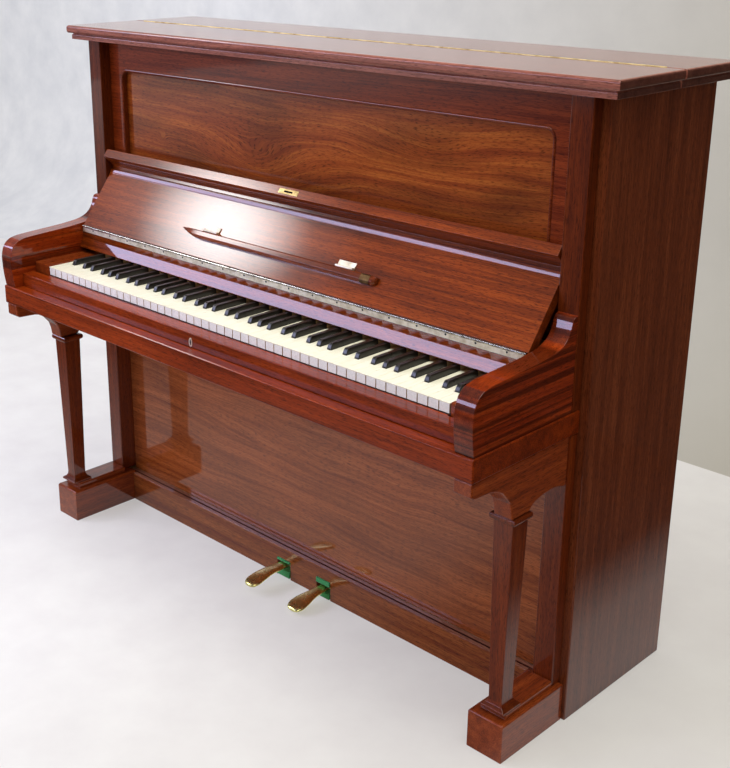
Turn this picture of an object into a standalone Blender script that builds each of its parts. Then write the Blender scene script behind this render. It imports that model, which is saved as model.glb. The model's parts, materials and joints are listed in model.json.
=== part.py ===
"""Cottage upright piano in French-polished mahogany, with 85 keys, tapered front legs and two pedals.

Blender 4.5, metres, +Z up. The keyboard faces -Y. The origin lies on the floor, in the middle of the
width and of the depth.
Run with: blender --background --python part.py
"""

import math

import bmesh
import bpy
from mathutils import Vector

# Driving dimensions

GAP = 0.0003  # clearance between glued or seated pieces
CASE_DEPTH = 0.336  # back plane to the front edge of the sides
SIDE_HEIGHT = 1.168
SIDE_THICKNESS = 0.030
LID_HEIGHT = 0.0317  # moulding and board together
LID_FLAP_DEPTH = 0.2004
KEYBED_BOTTOM = 0.586
KEYBED_THICKNESS = 0.043
KEYBED_REACH = 0.298  # in front of the case sides
ARM_OVERHANG = 0.002  # arm's nose in front of the keybed
KEY_PITCH = 0.02357
WHITE_KEYS = 50
KEY_LENGTH = 0.382
KEY_CLEARANCE = 0.001
KEY_BLOCK_WIDTH = 0.0588
KEY_SETBACK = 0.062  # keybed's front edge to the key fronts
ARM_WIDTH = 0.039
SIDE_STEP = 0.018  # arm's outer face to the side's outer face
TOE_HEIGHT = 0.079
FALL_LENGTH = 0.188
FALL_LEAN = math.radians(36.5)
FALL_STAND = 0.0108  # far edge of the open fall behind the front of the case sides

# Lines worked out from them

BACK = (CASE_DEPTH + KEYBED_REACH + ARM_OVERHANG) / 2
FRONT = BACK - CASE_DEPTH
BED_TOP = KEYBED_BOTTOM + KEYBED_THICKNESS
HALF_KEYS = WHITE_KEYS * KEY_PITCH / 2
ARM_IN = HALF_KEYS + KEY_BLOCK_WIDTH
ARM_OUT = ARM_IN + ARM_WIDTH
SIDE_OUT = ARM_OUT + SIDE_STEP
SIDE_IN = SIDE_OUT - SIDE_THICKNESS
PILASTER_IN = ARM_IN - 0.004
PILASTER_OUT = ARM_OUT + 0.001
PILASTER_FACE = FRONT - 0.025
DOOR_HALF = PILASTER_IN - 0.0005
LID_TOP = SIDE_HEIGHT + GAP + LID_HEIGHT
LID_FRONT = FRONT - 0.046
LID_SEAM = LID_FRONT + LID_FLAP_DEPTH
BED_FRONT = FRONT - KEYBED_REACH
ARM_FRONT = BED_FRONT - ARM_OVERHANG
KEY_FRONT = BED_FRONT + KEY_SETBACK
KEY_TOP = BED_TOP + 0.051
KEY_BOTTOM = BED_TOP + 0.031
BALANCE_Y = KEY_FRONT + 0.205
FALL_AXIS = (FRONT + FALL_STAND - FALL_LENGTH * math.sin(FALL_LEAN), BED_TOP + 0.115)
LEG_X = (ARM_IN + ARM_OUT) / 2 - 0.0035
LEG_Y = FRONT - 0.51 * KEYBED_REACH
BACK_FRAME_FRONT = BACK - 0.080
BOARD_FACE = BACK_FRAME_FRONT - GAP  # back of the soundboard and of the wrest plank
PLANK_LOW = SIDE_HEIGHT - 0.160

COLLECTION = bpy.data.collections.new("upright_piano")
TOOLS = bpy.data.collections.new("cutters")


def clear_scene():
    """Remove the objects of the startup scene and link the part's own collections."""
    for item in list(bpy.data.objects):
        bpy.data.objects.remove(item, do_unlink=True)
    bpy.context.scene.collection.children.link(COLLECTION)
    bpy.context.scene.collection.children.link(TOOLS)


def material(name, colour, roughness, metallic=0.0):
    """A Principled material with a linear base colour."""
    made = bpy.data.materials.new(name)
    made.use_nodes = True
    shader = made.node_tree.nodes["Principled BSDF"]
    shader.inputs["Base Color"].default_value = (*colour, 1.0)
    shader.inputs["Roughness"].default_value = roughness
    shader.inputs["Metallic"].default_value = metallic
    return made


MAHOGANY = material("polished_mahogany", (0.19, 0.045, 0.016), 0.18)
FIGURED = material("figured_mahogany_panel", (0.30, 0.085, 0.025), 0.20)
IVORY = material("ivory_on_lime_wood", (0.80, 0.74, 0.60), 0.30)
EBONY = material("ebony", (0.012, 0.011, 0.010), 0.28)
BRASS = material("polished_brass", (0.72, 0.47, 0.17), 0.22, 1.0)
NICKEL = material("nickel_plate", (0.62, 0.60, 0.56), 0.25, 1.0)
IRON = material("bronzed_cast_iron", (0.36, 0.22, 0.08), 0.45, 0.6)
SPRUCE = material("spruce", (0.55, 0.36, 0.17), 0.55)
BEECH = material("beech", (0.42, 0.25, 0.12), 0.50)


def home(item, name, paint, collection=None):
    """Name an object, give it its material and move it to the part's collection."""
    item.name = name
    item.data.name = name
    for owner in list(item.users_collection):
        owner.objects.unlink(item)
    (collection or COLLECTION).objects.link(item)
    item.data.materials.clear()
    item.data.materials.append(paint)
    return item


def round_edges(item, width, segments=2):
    """Soften an object's arrises with a Bevel modifier."""
    bevel = item.modifiers.new("arris", "BEVEL")
    bevel.width = width
    bevel.segments = segments
    bevel.limit_method = "ANGLE"
    bevel.angle_limit = math.radians(35)
    bevel.use_clamp_overlap = True
    return item


def box(name, x, y, z, paint, arris=0.0, segments=1, collection=None):
    """A squared piece between two values on each axis."""
    bpy.ops.mesh.primitive_cube_add(size=1.0)
    item = home(bpy.context.object, name, paint, collection)
    centre = Vector(((x[0] + x[1]) / 2, (y[0] + y[1]) / 2, (z[0] + z[1]) / 2))
    size = Vector((x[1] - x[0], y[1] - y[0], z[1] - z[0]))
    for vertex in item.data.vertices:
        vertex.co = Vector((vertex.co.x * size.x, vertex.co.y * size.y, vertex.co.z * size.z))
    item.location = centre
    if arris:
        round_edges(item, arris, segments)
    return item


def outline(name, points, low, high, paint, plane="YZ", arris=0.0, segments=1, collection=None):
    """A flat outline extruded square to its plane, from low to high.

    Plane YZ is extruded along X, XZ along Y and XY along Z. The outline is a filled 2D curve, turned into
    a mesh so that Bevel and Boolean modifiers can work on it.
    """
    curve = bpy.data.curves.new(name, "CURVE")
    curve.dimensions = "2D"
    curve.fill_mode = "BOTH"
    curve.extrude = (high - low) / 2
    spline = curve.splines.new("POLY")
    spline.points.add(len(points) - 1)
    for place, (a, b) in zip(spline.points, points):
        place.co = (a, b, 0.0, 1.0)
    spline.use_cyclic_u = True
    helper = bpy.data.objects.new(name, curve)
    COLLECTION.objects.link(helper)
    if plane == "YZ":
        helper.rotation_euler = (math.pi / 2, 0.0, math.pi / 2)
        helper.location = ((low + high) / 2, 0.0, 0.0)
    elif plane == "XZ":
        helper.rotation_euler = (math.pi / 2, 0.0, 0.0)
        helper.location = (0.0, (low + high) / 2, 0.0)
    else:
        helper.location = (0.0, 0.0, (low + high) / 2)
    bpy.context.view_layer.update()
    depsgraph = bpy.context.evaluated_depsgraph_get()
    mesh = bpy.data.meshes.new_from_object(helper.evaluated_get(depsgraph))
    mesh.transform(helper.matrix_world)
    bpy.data.objects.remove(helper, do_unlink=True)
    bpy.data.curves.remove(curve)
    work = bmesh.new()
    work.from_mesh(mesh)
    bmesh.ops.remove_doubles(work, verts=work.verts, dist=0.00001)
    bmesh.ops.dissolve_limit(
        work, angle_limit=0.001, verts=work.verts, edges=work.edges, use_dissolve_boundaries=False
    )
    bmesh.ops.recalc_face_normals(work, faces=work.faces)
    work.to_mesh(mesh)
    work.free()
    item = home(bpy.data.objects.new(name, mesh), name, paint, collection)
    if arris:
        round_edges(item, arris, segments)
    return item


def loft(name, rings, paint, collection=None):
    """A closed skin through rings of equally many points, capped at both ends."""
    work = bmesh.new()
    rows = [[work.verts.new(point) for point in ring] for ring in rings]
    for lower, upper in zip(rows, rows[1:]):
        count = len(lower)
        for i in range(count):
            j = (i + 1) % count
            work.faces.new((lower[i], lower[j], upper[j], upper[i]))
    work.faces.new(list(reversed(rows[0])))
    work.faces.new(rows[-1])
    bmesh.ops.recalc_face_normals(work, faces=work.faces)
    mesh = bpy.data.meshes.new(name)
    work.to_mesh(mesh)
    work.free()
    return home(bpy.data.objects.new(name, mesh), name, paint, collection)


def rectangle(x0, x1, y0, y1, z):
    """The four corners of a level rectangle."""
    return [(x0, y0, z), (x1, y0, z), (x1, y1, z), (x0, y1, z)]


def arc(centre, radius, start, end, steps):
    """Points on an arc, in degrees, both ends included."""
    turned = []
    for i in range(steps + 1):
        angle = math.radians(start + (end - start) * i / steps)
        turned.append((centre[0] + radius * math.cos(angle), centre[1] + radius * math.sin(angle)))
    return turned


def rod(name, centre, radius, length, paint, axis="X", sides=12, collection=None):
    """A round bar along one axis."""
    bpy.ops.mesh.primitive_cylinder_add(vertices=sides, radius=radius, depth=length)
    item = home(bpy.context.object, name, paint, collection)
    turns = {"X": (0.0, math.pi / 2, 0.0), "Y": (math.pi / 2, 0.0, 0.0), "Z": (0.0, 0.0, 0.0)}
    item.rotation_euler = turns[axis]
    item.location = centre
    return item


def turned(name, profile, place, paint, steps=12):
    """A piece turned about an upright axis, from its outer profile of radius and height, top to bottom."""
    mesh = bpy.data.meshes.new(name)
    points = [(radius, 0.0, height) for radius, height in profile]
    mesh.from_pydata(points, [(i, i + 1) for i in range(len(points) - 1)], [])
    item = home(bpy.data.objects.new(name, mesh), name, paint)
    item.location = (*place, 0.0)
    spin = item.modifiers.new("turn", "SCREW")
    spin.steps = steps
    spin.render_steps = steps
    spin.use_merge_vertices = True
    spin.merge_threshold = 0.00001
    return item


def boolean(item, tool, operation="DIFFERENCE"):
    """Cut or join with a tool object that is kept out of the render."""
    tool.hide_render = True
    tool.display_type = "WIRE"
    step = item.modifiers.new(tool.name, "BOOLEAN")
    step.operation = operation
    step.solver = "EXACT"
    step.object = tool
    return item


def join_all(item, tools):
    """Fuse an object with every tool piece of one collection."""
    fused = bpy.data.collections.new(item.name + "_pieces")
    TOOLS.children.link(fused)
    for tool in tools:
        for owner in list(tool.users_collection):
            owner.objects.unlink(tool)
        fused.objects.link(tool)
        tool.hide_render = True
        tool.display_type = "WIRE"
    step = item.modifiers.new("fuse", "BOOLEAN")
    step.operation = "UNION"
    step.solver = "EXACT"
    step.operand_type = "COLLECTION"
    step.collection = fused
    return item


def axis_empty(name, place, pieces):
    """Parent moving pieces to an empty that stands on their joint's axis."""
    empty = bpy.data.objects.new(name, None)
    COLLECTION.objects.link(empty)
    empty.location = place
    bpy.context.view_layer.update()
    for piece in pieces:
        piece.parent = empty
        piece.matrix_parent_inverse = empty.matrix_world.inverted()


def side_name(sign):
    """The name of the player's side."""
    return "left" if sign < 0 else "right"


def span(sign, near, far):
    """An X range on one side of the middle, in rising order."""
    return tuple(sorted((sign * near, sign * far)))


# Case


def build_sides():
    """The two sides, with the fixed strips that frame the doors above and below the keybed."""
    for sign in (-1, 1):
        name = side_name(sign)
        thickness = span(sign, SIDE_IN, SIDE_OUT)
        box(name + "_side", thickness, (FRONT, BACK), (0.0, SIDE_HEIGHT), MAHOGANY, 0.0015)
        inner = SIDE_IN - GAP
        strip = [
            (sign * PILASTER_IN, PILASTER_FACE),
            (sign * PILASTER_OUT, PILASTER_FACE),
            (sign * PILASTER_OUT, FRONT - GAP),
            (sign * inner, FRONT - GAP),
            (sign * inner, FRONT + 0.030),
            (sign * PILASTER_IN, FRONT + 0.030),
        ]
        upper = (BED_TOP + GAP, SIDE_HEIGHT)
        lower = (TOE_HEIGHT + GAP, KEYBED_BOTTOM - GAP)
        outline(name + "_upper_pilaster", strip, *upper, MAHOGANY, "XY", 0.0015)
        outline(name + "_lower_pilaster", strip, *lower, MAHOGANY, "XY", 0.0015)


DOOR_FACE = FRONT + 0.002
DOOR_THICKNESS = 0.022
PANEL_RECESS = 0.012
RABBET_LAP = 0.008
SILL_HEIGHT = 0.034
SILL_TOP = BED_TOP + 0.106
OPENING_HALF = DOOR_HALF - 0.0475
OPENING_BOTTOM = SILL_TOP + 0.080
OPENING_TOP = SIDE_HEIGHT - 0.067


def rounded_rectangle(left, right, bottom, top, radius, steps=4):
    """A rectangle with quarter-round corners."""
    corners = (
        (right - radius, bottom + radius, -90.0),
        (right - radius, top - radius, 0.0),
        (left + radius, top - radius, 90.0),
        (left + radius, bottom + radius, 180.0),
    )
    points = []
    for x, z, start in corners:
        points += arc((x, z), radius, start, start + 90.0, steps)
    return points


def build_top_door():
    """The door behind the fall: a frame with a round-cornered opening and the panel in its rabbet."""
    low = DOOR_FACE
    high = low + DOOR_THICKNESS
    height = (SILL_TOP + GAP, SIDE_HEIGHT - 0.002)
    frame = box("top_door_frame", (-DOOR_HALF, DOOR_HALF), (low, high), height, MAHOGANY)
    window = rounded_rectangle(-OPENING_HALF, OPENING_HALF, OPENING_BOTTOM, OPENING_TOP, 0.013)
    depth = (low - 0.01, high + 0.01)
    boolean(frame, outline("door_opening_cutter", window, *depth, MAHOGANY, "XZ", collection=TOOLS))
    rabbet = box(
        "door_rabbet_cutter",
        (-OPENING_HALF - RABBET_LAP, OPENING_HALF + RABBET_LAP),
        (low + PANEL_RECESS, high + 0.01),
        (OPENING_BOTTOM - RABBET_LAP, OPENING_TOP + RABBET_LAP),
        MAHOGANY,
        collection=TOOLS,
    )
    boolean(frame, rabbet)
    edge = RABBET_LAP - GAP
    box(
        "top_door_panel",
        (-OPENING_HALF - edge, OPENING_HALF + edge),
        (low + PANEL_RECESS + GAP, high - 0.001),
        (OPENING_BOTTOM - edge, OPENING_TOP + edge),
        FIGURED,
        0.0008,
    )
    box(
        "top_door_sill",
        (-DOOR_HALF, DOOR_HALF),
        (FRONT, FRONT + SILL_HEIGHT),
        (SILL_TOP - SILL_HEIGHT, SILL_TOP),
        BEECH,
        0.001,
    )


PEDAL_X = {"left": -0.053, "right": 0.074}
PEDAL_PIVOT = (FRONT + 0.036, 0.034)
STUD_REACH = {"left": 0.050, "right": 0.075}  # stud behind the pedal's pivot
STUD_RADIUS = 0.004
STUD_HOLE = STUD_RADIUS + 0.005
ROD_RADIUS = 0.005
ROD_PLACE = {
    "left": (-HALF_KEYS - 0.02575, PEDAL_PIVOT[0] + STUD_REACH["left"]),
    "right": (-HALF_KEYS - 0.05075, BACK - 0.123),
}
BED_BACK = ROD_PLACE["right"][1] - 0.027
KICK_FACE = FRONT - 0.009
TOE_INNER = ARM_IN - 0.028
TOE_OUTER = ARM_OUT + 0.0105
KICK_HEIGHT = 0.0735
SLOT_WIDTH = 0.042
SLOT_TOP = 0.046
KICK_THICKNESS = 0.020
BOARD_UNDER = 0.053
BOARD_TOP = 0.073
LOWER_DOOR_FACE = FRONT + 0.016
LOWER_DOOR_THICKNESS = 0.018


def build_lower_case():
    """The kick rail with its two pedal slots, the bottom board behind it and the bottom door."""
    half = TOE_INNER - GAP
    corners = [(half, KICK_HEIGHT), (-half, KICK_HEIGHT), (-half, 0.0)]
    for x in sorted(PEDAL_X.values()):
        corners += [
            (x - SLOT_WIDTH / 2, 0.0),
            (x - SLOT_WIDTH / 2, SLOT_TOP),
            (x + SLOT_WIDTH / 2, SLOT_TOP),
            (x + SLOT_WIDTH / 2, 0.0),
        ]
    corners.append((half, 0.0))
    outline("kick_rail", corners, KICK_FACE, KICK_FACE + KICK_THICKNESS, MAHOGANY, "XZ", 0.0008)
    board = box(
        "bottom_board",
        (-SIDE_IN + GAP, SIDE_IN - GAP),
        (KICK_FACE + KICK_THICKNESS + GAP, BACK_FRAME_FRONT - 0.004),
        (BOARD_UNDER, BOARD_TOP),
        SPRUCE,
        0.001,
    )
    middle = (BOARD_UNDER + BOARD_TOP) / 2
    for name, x in PEDAL_X.items():
        place = (x, PEDAL_PIVOT[0] + STUD_REACH[name], middle)
        cutter = name + "_stud_hole_cutter"
        boolean(board, rod(cutter, place, STUD_HOLE, 0.04, SPRUCE, "Z", collection=TOOLS))
    box(
        "bottom_door",
        (-DOOR_HALF, DOOR_HALF),
        (LOWER_DOOR_FACE, LOWER_DOOR_FACE + LOWER_DOOR_THICKNESS),
        (BOARD_TOP + GAP, KEYBED_BOTTOM - GAP),
        FIGURED,
        0.0015,
    )


# Lid


def lid_rings(front, back, moulded_front):
    """Level rectangles that follow the lid's edge moulding from below to the top.

    The ends and, where asked, the front follow the moulding. The other long edges stand straight.
    """
    base = SIDE_HEIGHT + GAP
    under = SIDE_OUT + 0.030
    profile = (
        (under, 0.0),
        (under, 0.0098),
        (under - 0.0030, 0.0128),
        (under - 0.0010, 0.0138),
        (under + 0.0065, 0.0146),
        (under + 0.0085, 0.0182),
        (under + 0.0085, LID_HEIGHT - 0.0040),
        (under + 0.0068, LID_HEIGHT - 0.0012),
        (under + 0.0040, LID_HEIGHT),
    )
    widest = under + 0.0085
    rings = []
    for half, height in profile:
        edge = front + (widest - half) if moulded_front else front
        rings.append(rectangle(-half, half, edge, back, base + height))
    return rings


HINGE_RADIUS = 0.0022
HINGE_AXIS_Z = LID_TOP + 0.0005


def build_lid():
    """The two boards of the lid and the knuckle of the piano hinge between them."""
    clear = HINGE_RADIUS + GAP
    loft("lid_back", lid_rings(LID_SEAM + clear, BACK, False), MAHOGANY)
    flap = loft("lid_flap", lid_rings(LID_FRONT, LID_SEAM - clear, True), MAHOGANY)
    pin = rod("lid_hinge", (0.0, LID_SEAM, HINGE_AXIS_Z), HINGE_RADIUS, 2 * SIDE_OUT + 0.003, BRASS)
    axis_empty("lid_axis", (0.0, LID_SEAM, HINGE_AXIS_Z), [flap])
    return pin


# Key bed, slip, blocks and arms


SLIP_FRONT = KEY_FRONT - 0.036
SLIP_BACK = KEY_FRONT - 0.005
SLIP_TOP = BED_TOP + 0.031
KEYHOLE_X = -0.038
KEY_BLOCK_LENGTH = 0.180


def build_bed():
    """The keybed that passes between the pilasters, with the slip, its keyhole and the key blocks."""
    wide = PILASTER_OUT + 0.0015
    inside = SIDE_IN - GAP
    back = BED_BACK
    shape = [
        (-wide, BED_FRONT),
        (wide, BED_FRONT),
        (wide, FRONT - GAP),
        (inside, FRONT - GAP),
        (inside, back),
        (-inside, back),
        (-inside, FRONT - GAP),
        (-wide, FRONT - GAP),
    ]
    bed = outline("keybed", shape, KEYBED_BOTTOM, BED_TOP, MAHOGANY, "XY", 0.002)
    hole = rod(
        "rod_hole_cutter",
        (*ROD_PLACE["left"], BED_TOP - KEYBED_THICKNESS / 2),
        ROD_RADIUS + 0.0015,
        KEYBED_THICKNESS + 0.02,
        MAHOGANY,
        "Z",
        collection=TOOLS,
    )
    boolean(bed, hole)
    slip = box(
        "key_slip",
        (-ARM_IN + GAP, ARM_IN - GAP),
        (SLIP_FRONT, SLIP_BACK),
        (BED_TOP + GAP, SLIP_TOP),
        MAHOGANY,
        0.0015,
        2,
    )
    keyhole = box(
        "keyhole_cutter",
        (KEYHOLE_X - 0.0012, KEYHOLE_X + 0.0012),
        (SLIP_FRONT - 0.014, SLIP_FRONT + 0.016),
        (BED_TOP + 0.003, BED_TOP + 0.010),
        MAHOGANY,
        collection=TOOLS,
    )
    boolean(slip, keyhole)
    for sign in (-1, 1):
        box(
            side_name(sign) + "_key_block",
            span(sign, HALF_KEYS + 0.0015, ARM_IN - GAP),
            (KEY_FRONT, KEY_FRONT + KEY_BLOCK_LENGTH),
            (BED_TOP + GAP, KEY_TOP + 0.002),
            MAHOGANY,
            0.0015,
            2,
        )


ARM_NOSE = (
    (0.006, 0.000),
    (0.002, 0.026),
    (0.000, 0.061),
    (0.001, 0.079),
    (0.008, 0.095),
    (0.021, 0.106),
    (0.036, 0.111),
    (0.050, 0.113),
)  # behind the arm's front, above the keybed
ARM_SWEEP = (
    (-0.114, 0.120),
    (-0.089, 0.121),
    (-0.072, 0.1235),
    (-0.059, 0.128),
    (-0.050, 0.134),
    (-0.042, 0.143),
    (-0.036, 0.154),
    (-0.030, 0.165),
    (-0.0253, 0.176),
    (-0.0253, 0.000),
)  # from the front of the case sides, above the keybed


def build_arms():
    """The two arms that stand on the keybed and sweep up to the pilasters."""
    base = BED_TOP + GAP
    points = [(ARM_FRONT + y, base + z) for y, z in ARM_NOSE]
    points += [(FRONT + y, base + z) for y, z in ARM_SWEEP]
    for sign in (-1, 1):
        low, high = span(sign, ARM_IN, ARM_OUT)
        outline(side_name(sign) + "_arm", points, low, high, MAHOGANY, "YZ", 0.0025, 2)


# Keys

BLACK_WIDTH = 0.011
BLACK_FRONT = KEY_FRONT + 0.048
BLACK_TOP = KEY_TOP + 0.0115
NOTE_STEPS = "ABCDEFG"
BLACK_OFFSETS = {"C": -0.14, "D": 0.14, "F": -0.17, "G": 0.0, "A": 0.17}
PLAYABLE = range(23, 30)  # white keys of the middle octave, C to B
KEY_LIFT = 0.0012  # a playable key's underside over the balance rail
KEY_COVER = FALL_AXIS[0] - 0.003  # where the sharps pass under the name strip


def white_note(index):
    """The letter of a white key, counted from the lowest A."""
    return NOTE_STEPS[index % 7]


def white_left(index):
    """The left edge of a white key's pitch."""
    return -HALF_KEYS + index * KEY_PITCH


def black_centre(index):
    """The centre of the black key above a white key, or None where there is none."""
    offset = BLACK_OFFSETS.get(white_note(index))
    if offset is None or not 0 <= index < WHITE_KEYS - 1:
        return None
    return white_left(index + 1) + offset * KEY_PITCH


def white_outline(index):
    """A white key's outline from above: its full-width head and the tail between the sharps."""
    left = white_left(index) + KEY_CLEARANCE / 2
    right = white_left(index + 1) - KEY_CLEARANCE / 2
    tail_left = left
    tail_right = right
    before = black_centre(index - 1)
    after = black_centre(index)
    reach = BLACK_WIDTH / 2 + KEY_CLEARANCE
    if before is not None:
        tail_left = max(left, before + reach)
    if after is not None:
        tail_right = min(right, after - reach)
    step = BLACK_FRONT - KEY_CLEARANCE
    back = KEY_FRONT + KEY_LENGTH
    points = [(left, KEY_FRONT), (right, KEY_FRONT)]
    if tail_right < right:
        points += [(right, step), (tail_right, step)]
    points += [(tail_right, back), (tail_left, back)]
    if tail_left > left:
        points += [(tail_left, step), (left, step)]
    return points


def white_key(name, index, bottom):
    """One white key."""
    return outline(name, white_outline(index), bottom, KEY_TOP, IVORY, "XY")


def black_key(name, index, bottom):
    """One black key: its lever and the sloping ebony block on it."""
    centre = black_centre(index)
    shape = [
        (BLACK_FRONT, bottom),
        (BLACK_FRONT, KEY_TOP - 0.001),
        (BLACK_FRONT + 0.0045, BLACK_TOP - 0.0015),
        (BLACK_FRONT + 0.0065, BLACK_TOP),
        (KEY_COVER, BLACK_TOP),
        (KEY_COVER + 0.002, KEY_TOP),
        (KEY_FRONT + KEY_LENGTH, KEY_TOP),
        (KEY_FRONT + KEY_LENGTH, bottom),
    ]
    return outline(name, shape, centre - BLACK_WIDTH / 2, centre + BLACK_WIDTH / 2, EBONY, "YZ")


def build_keys():
    """The key frame with the keys that stay still fused to its balance rail, and one playable octave."""
    rail_half = HALF_KEYS - 0.001
    rails = (
        ("front_rail", KEY_FRONT + 0.012, KEY_FRONT + 0.052, BED_TOP + 0.018),
        ("back_rail", KEY_FRONT + KEY_LENGTH - 0.040, KEY_FRONT + KEY_LENGTH, BED_TOP + 0.027),
    )
    frame = box(
        "key_frame",
        (-rail_half, rail_half),
        (BALANCE_Y - 0.012, BALANCE_Y + 0.012),
        (BED_TOP + GAP, KEY_BOTTOM + 0.0003),
        IVORY,
    )
    pieces = []
    for name, low, high, top in rails:
        pieces.append(box(name, (-rail_half, rail_half), (low, high), (BED_TOP + GAP, top), BEECH))
    middle = (KEY_FRONT + 0.040, KEY_FRONT + KEY_LENGTH - 0.020)
    height = (BED_TOP + GAP, BED_TOP + 0.014)
    for i, x in enumerate((-rail_half, -0.20, 0.17, rail_half - 0.03)):
        pieces.append(box("cross_slip_%d" % i, (x, x + 0.03), middle, height, BEECH))
    moving = []
    for index in range(WHITE_KEYS):
        playable = index in PLAYABLE
        bottom = KEY_BOTTOM + (KEY_LIFT if playable else 0.0)
        name = "white_key_%s" % white_note(index) if playable else "fixed_white_%02d" % index
        key = white_key(name, index, bottom)
        (moving if playable else pieces).append(key)
        if black_centre(index) is None:
            continue
        name = "black_key_%s" % white_note(index) if playable else "fixed_black_%02d" % index
        key = black_key(name, index, bottom)
        (moving if playable else pieces).append(key)
    join_all(frame, pieces)
    axis_empty("key_axis", (0.0, BALANCE_Y, KEY_BOTTOM + KEY_LIFT), moving)


# Fall


def fall_point(along, out):
    """A place on the open fall: along its inner face from the hinge, and out from that face."""
    lean = (math.sin(FALL_LEAN), math.cos(FALL_LEAN))
    return (
        FALL_AXIS[0] + along * lean[0] - out * lean[1],
        FALL_AXIS[1] + along * lean[1] + out * lean[0],
    )


FALL_LIP = (
    (-0.0410, 0.0),
    (-0.0400, 0.0026),
    (-0.0365, 0.0040),
    (-0.0330, 0.0026),
    (-0.0320, 0.0),
    (-0.0250, 0.0005),
    (-0.0235, 0.0060),
    (-0.0200, 0.0380),
    (0.0000, 0.0380),
    (0.0020, 0.0300),
    (0.0010, 0.0220),
    (-0.0020, 0.0150),
    (-0.0090, 0.0070),
    (-0.0180, -0.0020),
    (-0.0280, -0.0090),
    (-0.0380, -0.0150),
    (-0.0480, -0.0185),
    (-0.0580, -0.0200),
)  # along the fall from its far edge, and out from its inner face
FALL_HALF = PILASTER_IN - 0.0015
LEDGE_X = (-0.303, 0.277)
LEDGE_AXIS = (0.064, 0.006)
LEDGE_HINGES = {"left": -0.212, "right": 0.186}


def fall_outline(name, shape, low, high, paint, arris=0.0):
    """A piece of the fall, from its outline along and out from the inner face."""
    points = [fall_point(along, out) for along, out in shape]
    return outline(name, points, low, high, paint, "YZ", arris)


def build_fall():
    """The open fall with its lip, its hinge and the folded music ledge."""
    near = 0.0035
    board = [(near, 0.0)]
    board += [(FALL_LENGTH + along, out) for along, out in FALL_LIP]
    board.append((near, FALL_LIP[-1][1]))
    fall = fall_outline("fallboard", board, -FALL_HALF, FALL_HALF, MAHOGANY, 0.0008)
    y, z = FALL_AXIS
    leaf = [
        (y - 0.0012, z - 0.0130),
        (y - 0.0002, z - 0.0130),
        (y - 0.0002, z - 0.0035),
    ]
    leaf += arc((y - 0.0006, z), 0.0030, -50.0, 230.0, 10)
    leaf.append((y - 0.0012, z - 0.0035))
    outline("fall_hinge", leaf, -FALL_HALF, FALL_HALF - 0.003, NICKEL, "YZ")
    bar = (
        (LEDGE_AXIS[0] - 0.0035, GAP),
        (LEDGE_AXIS[0] - 0.0035, 0.0120),
        (LEDGE_AXIS[0] - 0.0170, 0.0120),
        (LEDGE_AXIS[0] - 0.0200, 0.0095),
        (LEDGE_AXIS[0] - 0.0210, 0.0060),
        (LEDGE_AXIS[0] - 0.0200, 0.0025),
        (LEDGE_AXIS[0] - 0.0175, GAP),
    )
    ledge = fall_outline("music_ledge", bar, *LEDGE_X, MAHOGANY, 0.0006)
    hinges = []
    for name, x in LEDGE_HINGES.items():
        knuckle = [
            (0.0780, GAP),
            (0.0780, 0.0023),
            (0.0672, 0.0023),
        ]
        knuckle += arc(LEDGE_AXIS, 0.0028, -30.0, 210.0, 8)
        knuckle.append((0.0622, GAP))
        hinges.append(
            fall_outline("ledge_hinge_" + name, knuckle, x - 0.0225, x + 0.0225, BRASS)
        )
    axis_empty("fall_axis", (0.0, y, z), [fall, *hinges])
    place = fall_point(*LEDGE_AXIS)
    axis_empty("ledge_axis", (0.0, *place), [ledge])
    strip = [
        (y + 0.0008, z - 0.0025),
        (y + 0.0150, z - 0.0130),
        (y + 0.0250, z - 0.0130),
        (y + 0.0250, BLACK_TOP + 0.0020),
        (y - 0.0090, BLACK_TOP + 0.0020),
        (y - 0.0090, BLACK_TOP + 0.0035),
        (y + 0.0004, z - 0.0285),
        (y + 0.0008, z - 0.0265),
    ]
    outline("name_strip", strip, -ARM_IN + GAP, ARM_IN - GAP, MAHOGANY, "YZ", 0.0006)


# Legs

BRACKET_NOSE = (
    (0.003, 0.000),
    (0.003, -0.026),
    (0.010, -0.0305),
)  # behind the keybed's front edge, below the keybed
BRACKET_SCROLL = (
    (-0.095, -0.0330),
    (-0.076, -0.0375),
    (-0.060, -0.0460),
    (-0.049, -0.0580),
    (-0.037, -0.0720),
    (-0.032, -0.0870),
    (-0.029, -0.1060),
    (0.020, -0.1060),
    (0.026, -0.1000),
    (0.035, -0.0940),
    (0.058, -0.0880),
    (0.085, -0.0860),
    (0.107, -0.0890),
    (0.119, -0.0930),
)  # from the column's axis, below the keybed
BRACKET_DROP = 0.106
TOE_NOSE = 0.036  # toe block in front of the column's axis
PILASTER_SEAT = PILASTER_FACE - GAP


def square_ring(half_x, half_y, z, x):
    """A level rectangle about a leg's axis."""
    return rectangle(x - half_x, x + half_x, LEG_Y - half_y, LEG_Y + half_y, z)


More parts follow.
